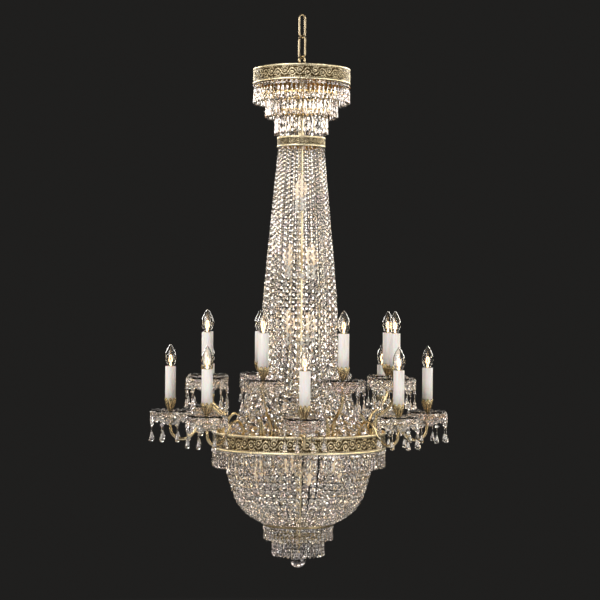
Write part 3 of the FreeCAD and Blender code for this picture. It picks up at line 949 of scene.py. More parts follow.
def pin(start: Vector, end: Vector, radius: float = 0.00045) -> Shape:
    """A short wire between two points.

    Args:
        start: where it starts.
        end: where it ends.
        radius: how thick it is.

    Returns:
        The points and the faces.
    """
    matrix = along(start, end)
    length = (end - start).length
    corners = [(radius, 0), (0, radius), (-radius, 0), (0, -radius)]
    ends = (0.0, length)
    return stack([[matrix @ Vector((x, y, height)) for x, y in corners] for height in ends])


@dataclass
class Strung:
    """The stones of one solid and the wires that hold them, while they are strung."""

    node: str
    stones: Sheet = field(default_factory=Sheet)
    pins: Sheet = field(default_factory=Sheet)

    def finish(self, palette: Palette) -> None:
        """Put the stones in the place of their solid and add their wires.

        Args:
            palette: the materials by finish.
        """
        crystal, plain = palette[Finish.CRYSTAL], palette[Finish.PLAIN]
        self.stones.mounted(self.node + "_stones", [crystal], "frame", "crystal", self.node)
        self.pins.mounted(self.node + "_pins", [plain], "frame", "gilt_brass")


@dataclass
class Hanging:
    """A string of stones hung straight down."""

    stones: list[Stone]
    gap: float = 0.0012
    sunk: float = 0.08

    def hang(self, strung: Strung, top: Vector, place: Matrix, length: float) -> None:
        """Hang the string from a point.

        Args:
            strung: collects the stones and the pins.
            top: the point that it hangs from, before it is carried.
            place: carries the string to its place.
            length: how long the whole string is.
        """
        total = sum(s[2] for s in self.stones)
        share = (length - self.gap * len(self.stones)) / total
        level = top.z
        for cut, wide, long in self.stones:
            reach = long * share
            start = Vector((top.x, top.y, level))
            below = Vector((top.x, top.y, level - self.gap - reach * self.sunk))
            strung.pins.add(moved(pin(start, below), place), soft=False)
            hung = place @ at(top.x, top.y, level - self.gap)
            strung.stones.add(moved(cut.value.cut(wide, reach), hung), soft=False)
            level -= reach + self.gap


@dataclass
class Curtain:
    """A ring of equal drops under a band or a ring: a flat octagon over a spear."""

    node: str
    count: int
    radius: float
    spear_long: float
    spear_wide: float = 0.0104
    octagon: float = 0.0112
    sway: float = 14.0

    def build(self, palette: Palette) -> None:
        """Make the curtain in the place of its solid.

        Args:
            palette: the materials by finish.
        """
        low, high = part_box(self.node)
        strung = Strung(self.node)
        chance = random.Random(self.node)
        step = 360.0 / self.count
        string = Hanging([
            (Cut.OCTAGON, self.octagon, self.octagon),
            (Cut.SPEAR, self.spear_wide, self.spear_long),
        ])
        for n in range(self.count):
            turn = FRONT + step / 2 + n * step
            lean = turned_to(chance.uniform(-self.sway, self.sway))
            place = turned_to(turn) @ at(self.radius, 0, high[2]) @ lean
            string.hang(strung, Vector((0, 0, 0)), place, high[2] - low[2])
        strung.finish(palette)


@dataclass
class Strands:
    """Strands of graded beads hung along a curve, all round the stem."""

    node: str
    count: int
    track: list[Point]
    first: float
    last: float
    graded: Point
    fat: float
    level: bool = False
    sway: float = 6.0
    slack: float = 0.06
    link: float = 0.0012

    def threaded(self, long: float) -> list[float]:
        """Where the beads of a strand part.

        Args:
            long: the strand's whole length.

        Returns:
            The distances along the strand, from its top to its foot.
        """
        begin, end = self.graded
        cuts = [0.0]
        while cuts[-1] < long:
            share = max(0.0, min(1.0, (cuts[-1] / long - begin) / (end - begin)))
            cuts.append(cuts[-1] + self.first + (self.last - self.first) * share)
        return [c * long / cuts[-1] for c in cuts]

    def rows(self) -> list[list[Vector]]:
        """The ends of the beads of two neighbouring strands.

        Returns:
            The points of an even and of an odd strand, before they are turned.
        """
        line = smooth_track(self.track)
        run = [0.0]
        for a, b in zip(line, line[1:]):
            run.append(run[-1] + (b - a).length)
        even = self.threaded(run[-1])
        odd = even
        if not self.level:
            odd = [0.0] + [(a + b) / 2 for a, b in zip(even, even[1:])] + [run[-1]]
        return [[point_along(line, run, c) for c in cuts] for cuts in (even, odd)]

    def build(self, palette: Palette) -> None:
        """Make the strands in the place of their solid.

        Args:
            palette: the materials by finish.
        """
        rows = self.rows()
        strung = Strung(self.node)
        chance = random.Random(self.node)
        for n in range(self.count):
            turn = turned_to(FRONT + 180.0 / self.count + n * 360.0 / self.count)
            self._thread(strung, rows[n % 2], turn, chance)
        strung.finish(palette)

    def _thread(self, strung: Strung, ends: list[Vector], turn: Matrix,
                chance: random.Random) -> None:
        """Thread one strand.

        Args:
            strung: collects the beads and the links.
            ends: the ends of the beads.
            turn: carries the strand to its place.
            chance: gives each bead its turn about the thread.
        """
        for start, end in zip(ends, ends[1:]):
            pitch = (end - start).length
            gap = pitch * self.slack
            spin = turned_to(chance.uniform(-self.sway, self.sway))
            lean = along(start, end) @ Matrix.Rotation(math.pi, 4, "X") @ spin
            long = pitch - gap
            bead = moved(Cut.BEAD.value.cut(long * self.fat, long), at(0, 0, -gap / 2))
            strung.stones.add(moved(bead, turn @ lean), soft=False)
        for before, middle, after in zip(ends, ends[1:], ends[2:]):
            half = (after - before).normalized() * self.link
            strung.pins.add(moved(pin(middle - half, middle + half), turn), soft=False)


def tent() -> Strands:
    """The tall tent of strands between the neck band and the main band.

    Returns:
        Its strands, small beads at the neck and large ones at the foot.
    """
    low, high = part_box("column_strands")
    top, foot = high[2], low[2]
    track = [(0.0585, top), (0.0705, top - 0.1387), (0.0935, top - 0.4187)]
    track += [(0.101, top - 0.5887), (0.155, top - 0.7167), (0.202, foot)]
    return Strands("column_strands", 32, track, first=0.010, last=0.022, graded=(0.0, 0.62),
                   fat=0.8)


def basket() -> Strands:
    """The basket of strands under the main band.

    Returns:
        Its strands, large beads at the band and small ones at the foot.
    """
    low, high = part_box("basket_strands")
    top, foot = high[2], low[2]
    deep = top - foot
    track = [(0.204, top), (0.179, top - deep * 0.45), (0.1623, top - deep * 0.70)]
    track += [(0.1395, top - deep * 0.845), (0.1182, top - deep * 0.925), (0.0925, foot)]
    return Strands("basket_strands", 56, track, first=0.0205, last=0.0095, graded=(0.52, 1.0),
                   fat=0.86, level=True)


# ----------------------------------------------------------------------- bands


def ridge(off: float, wide: float, power: int = 2) -> float:
    """How high a soft ridge is at a distance from its top."""
    return math.exp(-((off / wide) ** power))


@dataclass
class Band:
    """A pressed band with a running scroll between two plain rims."""

    node: str
    radius: float
    repeats: int
    stretch: float
    ledge: float
    rim_out: float = 0.002
    rim_high: float = 0.005
    wall: float = 0.0025
    ledge_thick: float = 0.003
    rise: float = 0.0016
    rows: int = 24
    sides_each: int = 32
    round_off: float = 0.0008
    swing: float = 0.28
    curl: Point = (0.13, 0.12)
    petals: Point = (0.065, 0.022)
    tips: Point = (0.34, 0.055)
    edging: float = 0.05
    beads_each: int = 7
    curls: tuple[Place, ...] = ((0.25, 0.37, 1.0), (0.75, 0.63, -1.0))

    def relief(self, turn: float, up: float) -> float:
        """How far the ornament stands out.

        Args:
            turn: share of the way round.
            up: share of the way up the face.

        Returns:
            The height, in metres.
        """
        across = (turn * self.repeats) % 1.0
        best = 0.8 * ridge(up - 0.5 - self.swing * math.sin(math.tau * across), 0.042)
        for middle, level, spin in self.curls:
            side = (across - middle) * self.stretch
            rise = up - level
            best = max(best, self._rosette(math.hypot(side, rise), math.atan2(rise, side), spin))
        to_edges = (up - self.edging, up - 1.0 + self.edging)
        edge = max(ridge(off, self.edging) for off in to_edges)
        beads = edge * (0.5 + 0.5 * math.cos(math.tau * self.beads_each * across))
        return self.rise * max(best, beads * 0.9)

    def _rosette(self, far: float, angle: float, spin: float) -> float:
        """The height of one curl with the flower in it and the leaf tips round it.

        Args:
            far: the distance from the middle of the flower.
            angle: the direction from there.
            spin: which way the curl turns, one or minus one.

        Returns:
            The height as a share of the highest.
        """
        start, grow = self.curl
        curl = 0.9 * ridge(far - start - grow * ((angle * spin / math.tau) % 1.0), 0.032)
        heart, lobe = self.petals
        flower = 1.1 * ridge(far, heart + lobe * math.cos(5 * angle), 4)
        out, wide = self.tips
        tips = 0.9 * ridge(far - out, wide) * max(0.0, math.cos(9 * angle))
        return max(curl, flower, tips)

    def _face(self, low: float, high: float, sides: int) -> list[list[Vector]]:
        """The rings of the ornamented face.

        Args:
            low: its lower edge.
            high: its upper edge.
            sides: how many points each ring has.

        Returns:
            The rings, from the lowest up.
        """
        rings = []
        for row in range(self.rows + 1):
            up = row / self.rows
            height = low + (high - low) * up
            ring = []
            for n in range(sides):
                turn = n / sides
                reach = self.radius + self.relief(turn, up) - 0.0002
                angle = math.tau * turn
                ring.append(Vector((reach * math.cos(angle), reach * math.sin(angle), height)))
            rings.append(ring)
        return rings

    def build(self, palette: Palette) -> None:
        """Make the band in the place of its solid.

        Args:
            palette: the materials by finish.
        """
        low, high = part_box(self.node)
        bottom, top = low[2], high[2]
        face_low, face_high = bottom + self.rim_high, top - self.rim_high
        sides = self.repeats * self.sides_each
        rim = self.radius + self.rim_out
        inside = self.radius - self.ledge
        under = [(inside, bottom), (rim - 0.0006, bottom), (rim, bottom + self.round_off)]
        under += [(rim, face_low - 0.0010), (rim - self.round_off, face_low - 0.0002)]
        over = [(rim - self.round_off, face_high + 0.0002), (rim, face_high + 0.0010)]
        over += [(rim, top - self.round_off), (rim - self.round_off, top)]
        behind, step = self.radius - self.wall, bottom + self.ledge_thick
        back = [(behind, top), (behind, step), (inside, step)]
        lower, upper, inner = (
            [circle(radius, height, sides) for radius, height in outline]
            for outline in (under, over, back)
        )
        front = lower + self._face(face_low, face_high, sides) + upper
        sheet = Sheet()
        sheet.add(stack(front, ends=False), soft=True)
        sheet.add(stack(front[-1:] + inner + front[:1], ends=False), soft=True, finish=1)
        # The pressed material paints shade into the ground of the relief and a highlight on its
        # raised parts.
        pressed = PressedPaintedShade("pressed_" + self.node, self.radius, self.rise).paint()
        finishes = [pressed, palette[Finish.RICH]]
        sheet.mounted(self.node + "_pressed", finishes, "frame", "embossed_band", self.node)


# --------------------------------------------------------------------- candles


@dataclass(frozen=True)
class Pan:
    """A scalloped glass pan round the foot of a candle."""

    radius: float = 0.055
    foot: float = 0.018
    rise: float = 0.009
    thick: float = 0.0035
    bore: float = 0.0052
    lip: float = 0.0015
    wall: float = 0.0030
    bend: float = 1.4
    lobes: int = 16
    lobe_deep: float = 0.09
    lobe_fall: float = 0.0022
    shares: tuple[float, ...] = (0.25, 0.5, 0.75, 0.93)
    lobed: tuple[float, ...] = (0, 0, 0, 0.3, 0.6, 0.85, 1, 1, 0.85, 0.6, 0.3, 0, 0, 0, 0)

    def _lobe(self, angle: float, row: int) -> Point:
        """Scallop the rim and flute the pan towards it."""
        deep = self.lobed[row] * (1.0 - abs(math.cos(angle * self.lobes / 2)))
        return 1.0 - self.lobe_deep * deep, -self.lobe_fall * deep

    def shape(self) -> Shape:
        """The pan, standing on nothing.

        Returns:
            The points and the faces.
        """
        rim = self.thick + self.rise
        spread = self.radius - self.foot
        profile = [(self.bore, 0.0), (self.foot, 0.0002)]
        for share in self.shares:
            profile.append((self.foot + spread * share, (rim - self.lip) * share**self.bend))
        profile += [(self.radius, rim - self.lip), (self.radius, rim)]
        for share in reversed(self.shares):
            height = self.wall + (rim - self.wall) * share**self.bend
            profile.append((self.foot + spread * share, height))
        profile += [(self.foot, self.thick), (self.bore, self.thick), (self.bore, 0.0)]
        return lathe(profile, 64, self._lobe)


@dataclass(frozen=True)
class Bowl:
    """A thin fluted glass bowl under a pan."""

    radius: float = 0.046
    deep: float = 0.036
    wall: float = 0.0025
    taper: float = 0.8
    bend: float = 2.6
    flutes: int = 12
    flute_deep: float = 0.022
    shares: tuple[float, ...] = (0.0, 0.12, 0.28, 0.45, 0.62, 0.77, 0.89, 0.97, 1.0)

    def _flute(self, angle: float, row: int) -> Point:
        """Cut hollow flutes into the outside of the bowl."""
        cut = self.flute_deep * abs(math.cos(angle * self.flutes / 2))
        return 1.0 - (cut if 0 < row < len(self.shares) - 1 else 0.0), 0.0

    def _wall(self, inset: float, lip: float) -> list[Point]:
        """One side of the bowl, from its lip down.

        Args:
            inset: how far inside the outer side it is.
            lip: the height of the lip.

        Returns:
            The outline of that side.
        """
        radius, deep = self.radius - inset, self.deep - inset
        return [(radius * (1.0 - self.taper * s**self.bend), lip - deep * s) for s in self.shares]

    def shape(self, lip: float) -> Shape:
        """The bowl, with its lip at a height."""
        outside, inside = self._wall(0.0, lip), self._wall(self.wall, lip)
        return lathe(outside + inside[::-1] + outside[:1], 96, self._flute)


@dataclass(frozen=True)
class Sleeve:
    """The card sleeve that looks like a candle."""

    radius: float = 0.014
    wall: float = 0.0013
    high: float = 0.096

    def shape(self, floor: float) -> Shape:
        """The sleeve, standing on a floor.

        Args:
            floor: the height of its foot.

        Returns:
            The points and the faces.
        """
        outer, inner = self.radius, self.radius - self.wall
        top = floor + self.high
        profile = [(inner, floor), (outer, floor), (outer, floor + self.high * 0.5)]
        profile += [(outer, top - 0.0006), (outer - 0.0004, top), (inner + 0.0003, top)]
        profile += [(inner, top - 0.0005), (inner, floor)]
        return lathe(profile, 48)


@dataclass(frozen=True)
class Cup:
    """The leafy cup that holds a sleeve."""

    radius: float = 0.0156
    high: float = 0.044
    floor: float = 0.032
    bore: float = 0.0048
    play: float = 0.0003
    leaves: int = 8
    waist: tuple[Point, ...] = (
        (0.42, 0.26), (0.38, 0.36), (0.58, 0.52), (0.80, 0.72), (0.96, 0.95),
    )
    throat: tuple[Point, ...] = ((0.985, 0.82), (0.99, 0.93), (1.0, 1.0))
    pressed: tuple[float, ...] = (0, 0, 0, 0, 0, 0.10, 0.22, 0.22, 0.08, 0.06, 0.04, 0, 0, 0, 0)
    notched: tuple[float, ...] = (0, 0, 0, 0, 0, 0, 0, 0, 0, 0.003, 0.006, 0.007, 0.007, 0, 0)

    def _petal(self, angle: float, row: int) -> Point:
        """Press pointed leaves into the cup."""
        hollow = 1.0 - abs(math.cos(angle * self.leaves / 2))
        return 1.0 - self.pressed[row] * hollow, -self.notched[row] * hollow

    def shape(self, pan: Pan, sleeve: Sleeve) -> Shape:
        """The cup, through a pan and round a sleeve.

        Args:
            pan: the pan that it stands on.
            sleeve: the sleeve that it holds.

        Returns:
            The points and the faces.
        """
        seat = pan.thick + 0.0002
        mouth = sleeve.radius + self.play
        profile = [(self.bore, 0.0), (self.bore, seat)]
        profile += [(self.radius * 0.62, seat), (self.radius * 0.60, seat + 0.0018)]
        profile += [(self.radius * r, self.floor * z) for r, z in self.waist]
        profile += [(self.radius * r, self.high * z) for r, z in self.throat]
        profile += [(mouth, self.high), (mouth, self.floor), (0.0, self.floor)]
        return lathe(profile, 64, self._petal)


@dataclass(frozen=True)
class Bulb:
    """A candle bulb: blown glass, a screw cap and three lit loops."""

    radius: float = 0.0158
    high: float = 0.060
    wall: float = 0.0006
    tip: float = 0.052
    tip_wall: float = 0.0010
    cap_radius: float = 0.007
    cap_long: float = 0.025
    thread_deep: float = 0.0005
    thread_steps: int = 24
    loops: int = 3
    loop_steps: int = 16
    loop_wide: float = 0.0048
    loop_foot: float = 0.012
    loop_high: float = 0.018
    wire: float = 0.0005
    neck: tuple[Point, ...] = ((0.0085, 0.001), (0.0112, 0.006))
    belly: tuple[Point, ...] = (
        (0.88, 0.012), (0.98, 0.018), (1.0, 0.0228), (0.97, 0.029), (0.87, 0.036),
        (0.68, 0.0435), (0.46, 0.0502), (0.28, 0.0548), (0.13, 0.0583),
    )
    stem: tuple[Point, ...] = (
        (0.0, 0.001), (0.0035, 0.0012), (0.0022, 0.008), (0.0012, 0.014), (0.0, 0.0145),
    )

    def glass(self) -> Shape:
        """The blown glass, standing on nothing.

        Returns:
            The points and the faces.
        """
        outer = [*self.neck, *((self.radius * r, z) for r, z in self.belly), (0.0002, self.high)]
        inner = []
        for radius, height in reversed(outer):
            drop = self.tip_wall if height > self.tip else 0.0
            inner.append((max(radius - self.wall, 0.0001), height - drop))
        return lathe(outer + inner + [outer[0]], 40)

    def cap(self) -> Shape:
        """The screw cap, with its thread.

        Returns:
            The points and the faces.
        """
        profile = [(0.0, 0.001), (0.0085, 0.001), (0.0072, 0.0)]
        for n in range(self.thread_steps + 1):
            depth = 0.003 + (self.cap_long - 0.008) * n / self.thread_steps
            profile.append((self.cap_radius - self.thread_deep * (n % 2), -depth))
        profile += [(0.0036, -self.cap_long + 0.0022), (0.0030, -self.cap_long + 0.001)]
        profile += [(0.0, -self.cap_long + 0.001)]
        return lathe(profile, 32)

    def filament(self) -> list[Shape]:
        """The bead of glass inside and the lit loops above it.

        Returns:
            The shapes.
        """
        shapes = [lathe(list(self.stem), 12)]
        for n in range(self.loops):
            angle = math.pi * n / self.loops
            side = Vector((-math.sin(angle), math.cos(angle), 0.0))
            out = Vector((math.cos(angle), math.sin(angle), 0.0))
            loop = []
            for k in range(self.loop_steps + 1):
                share = k / self.loop_steps
                spread = self.loop_wide * math.cos(math.pi * share)
                rise = self.loop_foot + self.loop_high * math.sin(math.pi * share)
                loop.append(out * spread + Vector((0, 0, rise)))
            shapes.append(sweep(loop, side, lambda share: self.wire, 6))
        return shapes

    def build(self, node: str, base: Matrix, palette: Palette) -> None:
        """Make one bulb in the place of its solid, which is also its body.

        Args:
            node: the solid's name.
            base: where the bottom of its glass is.
            palette: the materials by finish.
        """
        shell = Sheet()
        shell.add(moved(self.glass(), base), soft=True)
        shell.mounted(node + "_glass", [palette[Finish.BLOWN]], node, "bulb_glass", node)
        works = Sheet()
        works.add(moved(self.cap(), base), soft=True)
        for shape in self.filament():
            works.add(moved(shape, base), soft=True, finish=1)
        finishes = [palette[Finish.PLAIN], palette[Finish.FILAMENT]]
        works.mounted(node + "_works", finishes, node, "gilt_brass")


@dataclass(frozen=True)
class PanDrops:
    """The bead strings, pear drops and swags that hang from a pan."""

    octagons: Point = (0.0112, 0.0105)
    bead: float = 0.0085
    pear: Point = (0.0125, 0.041)
    strings: int = 8
    inset: float = 0.002
    swag_bead: float = 0.0084
    swag_inset: float = 0.0026
    swag_count: int = 5
    swag_falls: Point = (0.005, 0.021)
    swag_top: float = 0.0015
    swag_turns: Point = (7.0, 31.0)

    def string(self) -> Hanging:
        """One string: two octagons with beads between them, over a pear drop.

        Returns:
            The string.
        """
        first, second = self.octagons
        bead = (Cut.BEAD, self.bead, self.bead)
        return Hanging([
            (Cut.OCTAGON, first, first), bead, bead, (Cut.OCTAGON, second, second),
            (Cut.PEAR, *self.pear),
        ])

    def hang(self, strung: Strung, place: Matrix, level: float, rim: float, length: float) -> None:
        """Hang the strings and the swags from one pan.

        Args:
            strung: collects the stones and the pins.
            place: carries the pan to its candle.
            level: the height of the strings' tops.
            rim: how far out they hang.
            length: how long each string is.
        """
        string = self.string()
        step = 360.0 / self.strings
        for n in range(self.strings):
            turn = step / 2 + n * step
            string.hang(strung, Vector((rim, 0, level)), place @ turned_to(turn), length)
            self._swag(strung.stones, place, rim - self.swag_inset, level, turn)

    def _swag(self, stones: Sheet, place: Matrix, reach: float, level: float, turn: float) -> None:
        """Loop two short rows of beads between two strings of a pan.

        Args:
            stones: collects the beads.
            place: carries the pan to its candle.
            reach: how far out the beads hang.
            level: the height of the strings' tops.
            turn: the angle of the first string, in degrees.
        """
        begin, spread = self.swag_turns
        for deep in self.swag_falls:
            for n in range(self.swag_count):
                share = (n + 0.5) / self.swag_count
                angle = math.radians(turn + begin + spread * share)
                sag = deep * math.sin(math.pi * share) + self.swag_top
                where = at(reach * math.cos(angle), reach * math.sin(angle), level - sag)
                bead = Cut.BEAD.value.cut(self.swag_bead, self.swag_bead)
                stones.add(moved(moved(bead, where), place), soft=False)


# ------------------------------------------------------------------------ arms


class Level(Enum):
    """The two levels of candle arms."""

    LOWER = "lower"
    UPPER = "upper"


@dataclass
class CandleRing:
    """One level of eight arms with everything that they carry."""

    level: Level
    path: list[Point]
    reach: float
    seat: float
    first: float
    arm_radius: float
    arm_slim: float = 0.1
    arm_flute: float = 0.12
    count: int = 8
    pan: Pan = Pan()
    bowl: Bowl = Bowl()
    cup: Cup = Cup()
    sleeve: Sleeve = Sleeve()
    bulb: Bulb = Bulb()
    drops: PanDrops = PanDrops()
    knop: tuple[Point, ...] = (
        (0.0, -0.016), (0.006, -0.0155), (0.0085, -0.012), (0.006, -0.0085), (0.0078, -0.0065),
        (0.0098, -0.0045), (0.0100, -0.0010), (0.0094, 0.0), (0.0, 0.0),
    )

    def turns(self) -> list[float]:
        """The direction of each arm, in degrees."""
        return [self.first + n * 360.0 / self.count for n in range(self.count)]

    def places(self) -> list[Matrix]:
        """Where each candle stands, turned to face outward."""
        return [turned_to(turn) @ at(self.reach, 0, self.seat) for turn in self.turns()]

    def node(self, what: str) -> str:
        """The name of one of this level's solids."""
        return f"{self.level.value}_{what}"

    def put(self, sheet: Sheet, what: str, finish: bpy.types.Material, slot: str) -> None:
        """Make a piece of this level in the place of its solid."""
        node = self.node(what)
        sheet.mounted(node + "_shaped", [finish], "frame", slot, node)

    def build_arms(self, palette: Palette) -> None:
        """Make the arms with the knops under their pans.

        Args:
            palette: the materials by finish.
        """
        line = smooth_track(self.path, 90)
        side = Vector((0.0, 1.0, 0.0))
        tube = sweep(line, side, self._thickness, 20, self.arm_flute)
        knop = lathe([(radius, self.seat + height) for radius, height in self.knop], 24)
        sheet = Sheet()
        for angle in self.turns():
            turn = turned_to(angle)
            sheet.add(moved(tube, turn), soft=True)
            sheet.add(moved(knop, turn @ at(self.reach, 0, 0)), soft=True)
        self.put(sheet, "arms", palette[Finish.GILT], "gilt_brass")

    def _thickness(self, share: float) -> float:
        """The radius of an arm, a little slimmer in the middle."""
        return self.arm_radius * (1.0 - self.arm_slim * math.sin(math.pi * share))

    def build_candles(self, palette: Palette) -> None:
        """Make all that stands on the arms or hangs from them.

        Args:
            palette: the materials by finish.
        """
        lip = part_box(self.node("pan_bowls"))[1][2] - self.seat
        cup = self.cup.shape(self.pan, self.sleeve)
        sleeve = self.sleeve.shape(self.cup.floor)
        for what, shape, soft, finish, slot in (
            ("pans", self.pan.shape(), False, Finish.PAN, "crystal"),
            ("pan_bowls", self.bowl.shape(lip), True, Finish.THIN, "crystal"),
            ("cups", cup, True, Finish.CAST, "cast_cup"),
            ("sleeves", sleeve, True, Finish.IVORY, "candle_sleeve"),
        ):
            sheet = Sheet()
            for place in self.places():
                sheet.add(moved(shape, place), soft=soft)
            self.put(sheet, what, palette[finish], slot)
        self._hang_drops(palette)
        self._screw_bulbs(palette)

    def _hang_drops(self, palette: Palette) -> None:
        """Hang the strings and swags of every pan.

        Args:
            palette: the materials by finish.
        """
        node = self.node("pan_drops")
        low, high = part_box(node)
        strung = Strung(node)
        rim = self.pan.radius - self.drops.inset
        for place in self.places():
            self.drops.hang(strung, place, high[2] - self.seat, rim, high[2] - low[2])
        strung.finish(palette)

    def _screw_bulbs(self, palette: Palette) -> None:
        """Screw a bulb into every candle.

        Args:
            palette: the materials by finish.
        """
        for n, turn in enumerate(self.turns(), start=1):
            node = self.node(f"bulb_{n}")
            angle = math.radians(turn)
            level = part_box(node)[1][2] - self.bulb.high
            base = at(self.reach * math.cos(angle), self.reach * math.sin(angle), level)
            self.bulb.build(node, base, palette)


def candle_rings(ledge: float) -> list[CandleRing]:
    """The two levels of arms.

    Args:
        ledge: the height of the ledge that they stand on.

    Returns:
        The lower and the upper level.
    """
    base = ledge + 0.035
    dip = base - 0.014
    arched = [(0.212, ledge), (0.212, base - 0.012), (0.2135, base + 0.017), (0.221, base + 0.036)]
    arched += [(0.2385, base + 0.045), (0.256, base + 0.039), (0.269, base + 0.024)]
    arched += [(0.278, base + 0.007), (0.292, dip + 0.007), (0.309, dip), (0.327, dip + 0.003)]
    arched += [(0.341, dip + 0.017), (0.345, dip + 0.038), (0.345, base + 0.051)]
    swept = [(0.208, ledge), (0.208, base + 0.005), (0.2105, base + 0.030), (0.222, base + 0.052)]
    swept += [(0.2375, base + 0.066), (0.253, base + 0.080), (0.2645, base + 0.100)]
    swept += [(0.267, base + 0.122), (0.267, base + 0.1435)]
    return [
        CandleRing(Level.LOWER, arched, 0.345, base + 0.052, FRONT, 0.0044),
        CandleRing(Level.UPPER, swept, 0.267, base + 0.1445, FRONT + 22.5, 0.0050),
    ]


# -------------------------------------------------------------- small castings


@dataclass
class Leaves:
    """Brass leaves that stand up at the roots of the arms."""

    foot: float
    node: str = "arm_leaves"
    count: int = 8
    first: float = FRONT + 16.5
    radius: float = 0.219
    height: float = 0.088
    wide: float = 0.024
    thick: float = 0.0012
    curl: float = 0.008
    cup: float = 0.004
    rib: float = 0.0014
    notches: int = 5
    notch_deep: float = 0.22
    rows: int = 16
    across: int = 9

    def _side(self, back: float) -> list[Vector]:
        """One side of a leaf that faces east.

        Args:
            back: how far behind the front side it is.

        Returns:
            Its points, row by row from the foot.
        """
        grid = []
        for row in range(self.rows + 1):
            up = row / self.rows
            half = self.wide / 2 * (math.sin(math.pi * up**0.8) ** 0.7 + 0.04) * (1 - 0.25 * up)
            notch = 1.0 - self.notch_deep * abs(math.sin(up * math.pi * self.notches))
            for k in range(self.across):
                share = 2 * k / (self.across - 1) - 1
                rib = self.rib * math.cos(share * math.pi * 2.5)
                reach = self.radius + self.curl * up**2.2 + rib - back - self.cup * share * share
                grid.append(Vector((reach, half * share * notch, self.foot + self.height * up)))
        return grid

    def _faces(self) -> list[Face]:
        """The faces of both sides of a leaf and of the edge between them.

        Returns:
            The faces.
        """
        rows, across = self.rows, self.across
        total = (rows + 1) * across
        faces: list[Face] = []
        for row in range(rows):
            for k in range(across - 1):
                a = row * across + k
                faces.append((a, a + 1, a + across + 1, a + across))
                b = total + a
                faces.append((b, b + across, b + across + 1, b + 1))
        border = list(range(across))
        border += [row * across + across - 1 for row in range(1, rows + 1)]
        border += [rows * across + k for k in range(across - 2, -1, -1)]
        border += [row * across for row in range(rows - 1, 0, -1)]
        for a, b in zip(border, border[1:] + border[:1]):
            faces.append((a, total + a, total + b, b))
        return faces

    def build(self, palette: Palette) -> None:
        """Make the ring of leaves in the place of their solid.

        Args:
            palette: the materials by finish.
        """
        leaf = (self._side(0.0) + self._side(self.thick), self._faces())
        sheet = Sheet()
        for n in range(self.count):
            sheet.add(moved(leaf, turned_to(self.first + n * 360.0 / self.count)), soft=True)
        sheet.mounted(self.node + "_cast", [palette[Finish.CAST]], "frame", "cast_cup", self.node)


@dataclass
class Finial:
    """The cut glass ball at the foot, with its brass loop."""

    node: str = "finial_ball"
    body: str = "ball"
    radius: float = 0.021
    rows: int = 9
    sides: int = 14
    pole: float = 0.35
    loop_radius: float = 0.0045
    loop_drop: float = 0.0055
    loop_steps: int = 32
    wire: float = 0.001
    neck_drop: float = 0.0105
    neck: tuple[Point, ...] = (
        (0.0, -0.002), (0.0075, -0.0018), (0.0060, 0.0008), (0.0030, 0.0022),
    )

    def build(self, palette: Palette) -> None:
        """Make the ball in the place of its solid.

        Args:
            palette: the materials by finish.
        """
        low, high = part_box(self.node)
        centre = low[2] + self.radius
        levels = []
        for row in range(self.rows + 1):
            angle = math.pi * (row + self.pole) / (self.rows + 2 * self.pole)
            levels.append((self.radius * math.sin(angle), centre + self.radius * math.cos(angle)))
        ball = Sheet()
        ball.add(twisted(levels, self.sides), soft=False)
        ball.mounted(self.node + "_cut", [palette[Finish.SMOKY]], self.body, "crystal", self.node)
        works = Sheet()
        works.add(self._loop(high[2]), soft=True)
        neck = [(radius, centre + self.radius + height) for radius, height in self.neck]
        neck += [(0.0026, high[2] - self.neck_drop), (0.0, high[2] - self.neck_drop)]
        works.add(lathe(neck, 24), soft=True)
        works.mounted(self.node + "_loop", [palette[Finish.PLAIN]], self.body, "gilt_brass")

    def _loop(self, top: float) -> Shape:
        """The wire loop that the ball hangs by.

        Args:
            top: the height of its top.

        Returns:
            The points and the faces.
        """
        loop = []
        for n in range(self.loop_steps + 1):
            angle = math.tau * n / self.loop_steps
            rise = top - self.loop_drop + self.loop_radius * math.cos(angle)
            loop.append(Vector((0, self.loop_radius * math.sin(angle), rise)))
        return sweep(loop, Vector((1, 0, 0)), lambda share: self.wire, 10)


# ---------------------------------------------------------------------- studio


@dataclass(frozen=True)
class Lamp:
    """One soft square lamp that looks at the middle of the chandelier."""

    name: str
    where: Place
    size: float
    power: float
    colour: Colour
    aim: Place = (0.0, 0.0, -0.8)

    def hang(self) -> None:
        """Put the lamp in the scene."""
        data = bpy.data.lights.new(self.name, "AREA")
        data.size = self.size
        data.energy = self.power
        data.color = self.colour
        lamp = bpy.data.objects.new(self.name, data)
        lamp.location = self.where
        way = Vector(self.aim) - Vector(self.where)
        lamp.rotation_euler = way.to_track_quat("-Z", "Y").to_euler()
        bpy.context.scene.collection.objects.link(lamp)


SPARKS = (
    (-3.4, -2.4, -1.7), (2.3, -4.0, 1.5), (0.7, -4.5, -2.1), (-1.3, -4.2, 1.9), (-3.6, -0.9, 0.2),
)
LAMPS = (
    Lamp("key", (-2.6, -3.6, 1.3), 2.8, 165.0, (1.0, 0.97, 0.95)),
    Lamp("fill", (3.4, -2.8, -0.6), 2.0, 80.0, (1.0, 0.97, 0.93)),
    Lamp("back", (2.8, 2.5, 0.4), 1.8, 60.0, (1.0, 0.96, 0.91)),
    *(
        Lamp(f"spark_{n}", where, 0.32, 8.5, (1.0, 0.98, 0.96))
        for n, where in enumerate(SPARKS, start=1)
    ),
    Lamp("back_left", (-2.5, 3.0, 0.2), 1.3, 50.0, (1.0, 0.97, 0.94)),
    Lamp("warm_left", (-3.2, 0.4, -0.7), 1.0, 18.0, (1.0, 0.86, 0.64)),
    Lamp("warm_right", (3.3, 0.2, -0.4), 0.8, 22.0, (1.0, 0.88, 0.68)),
)


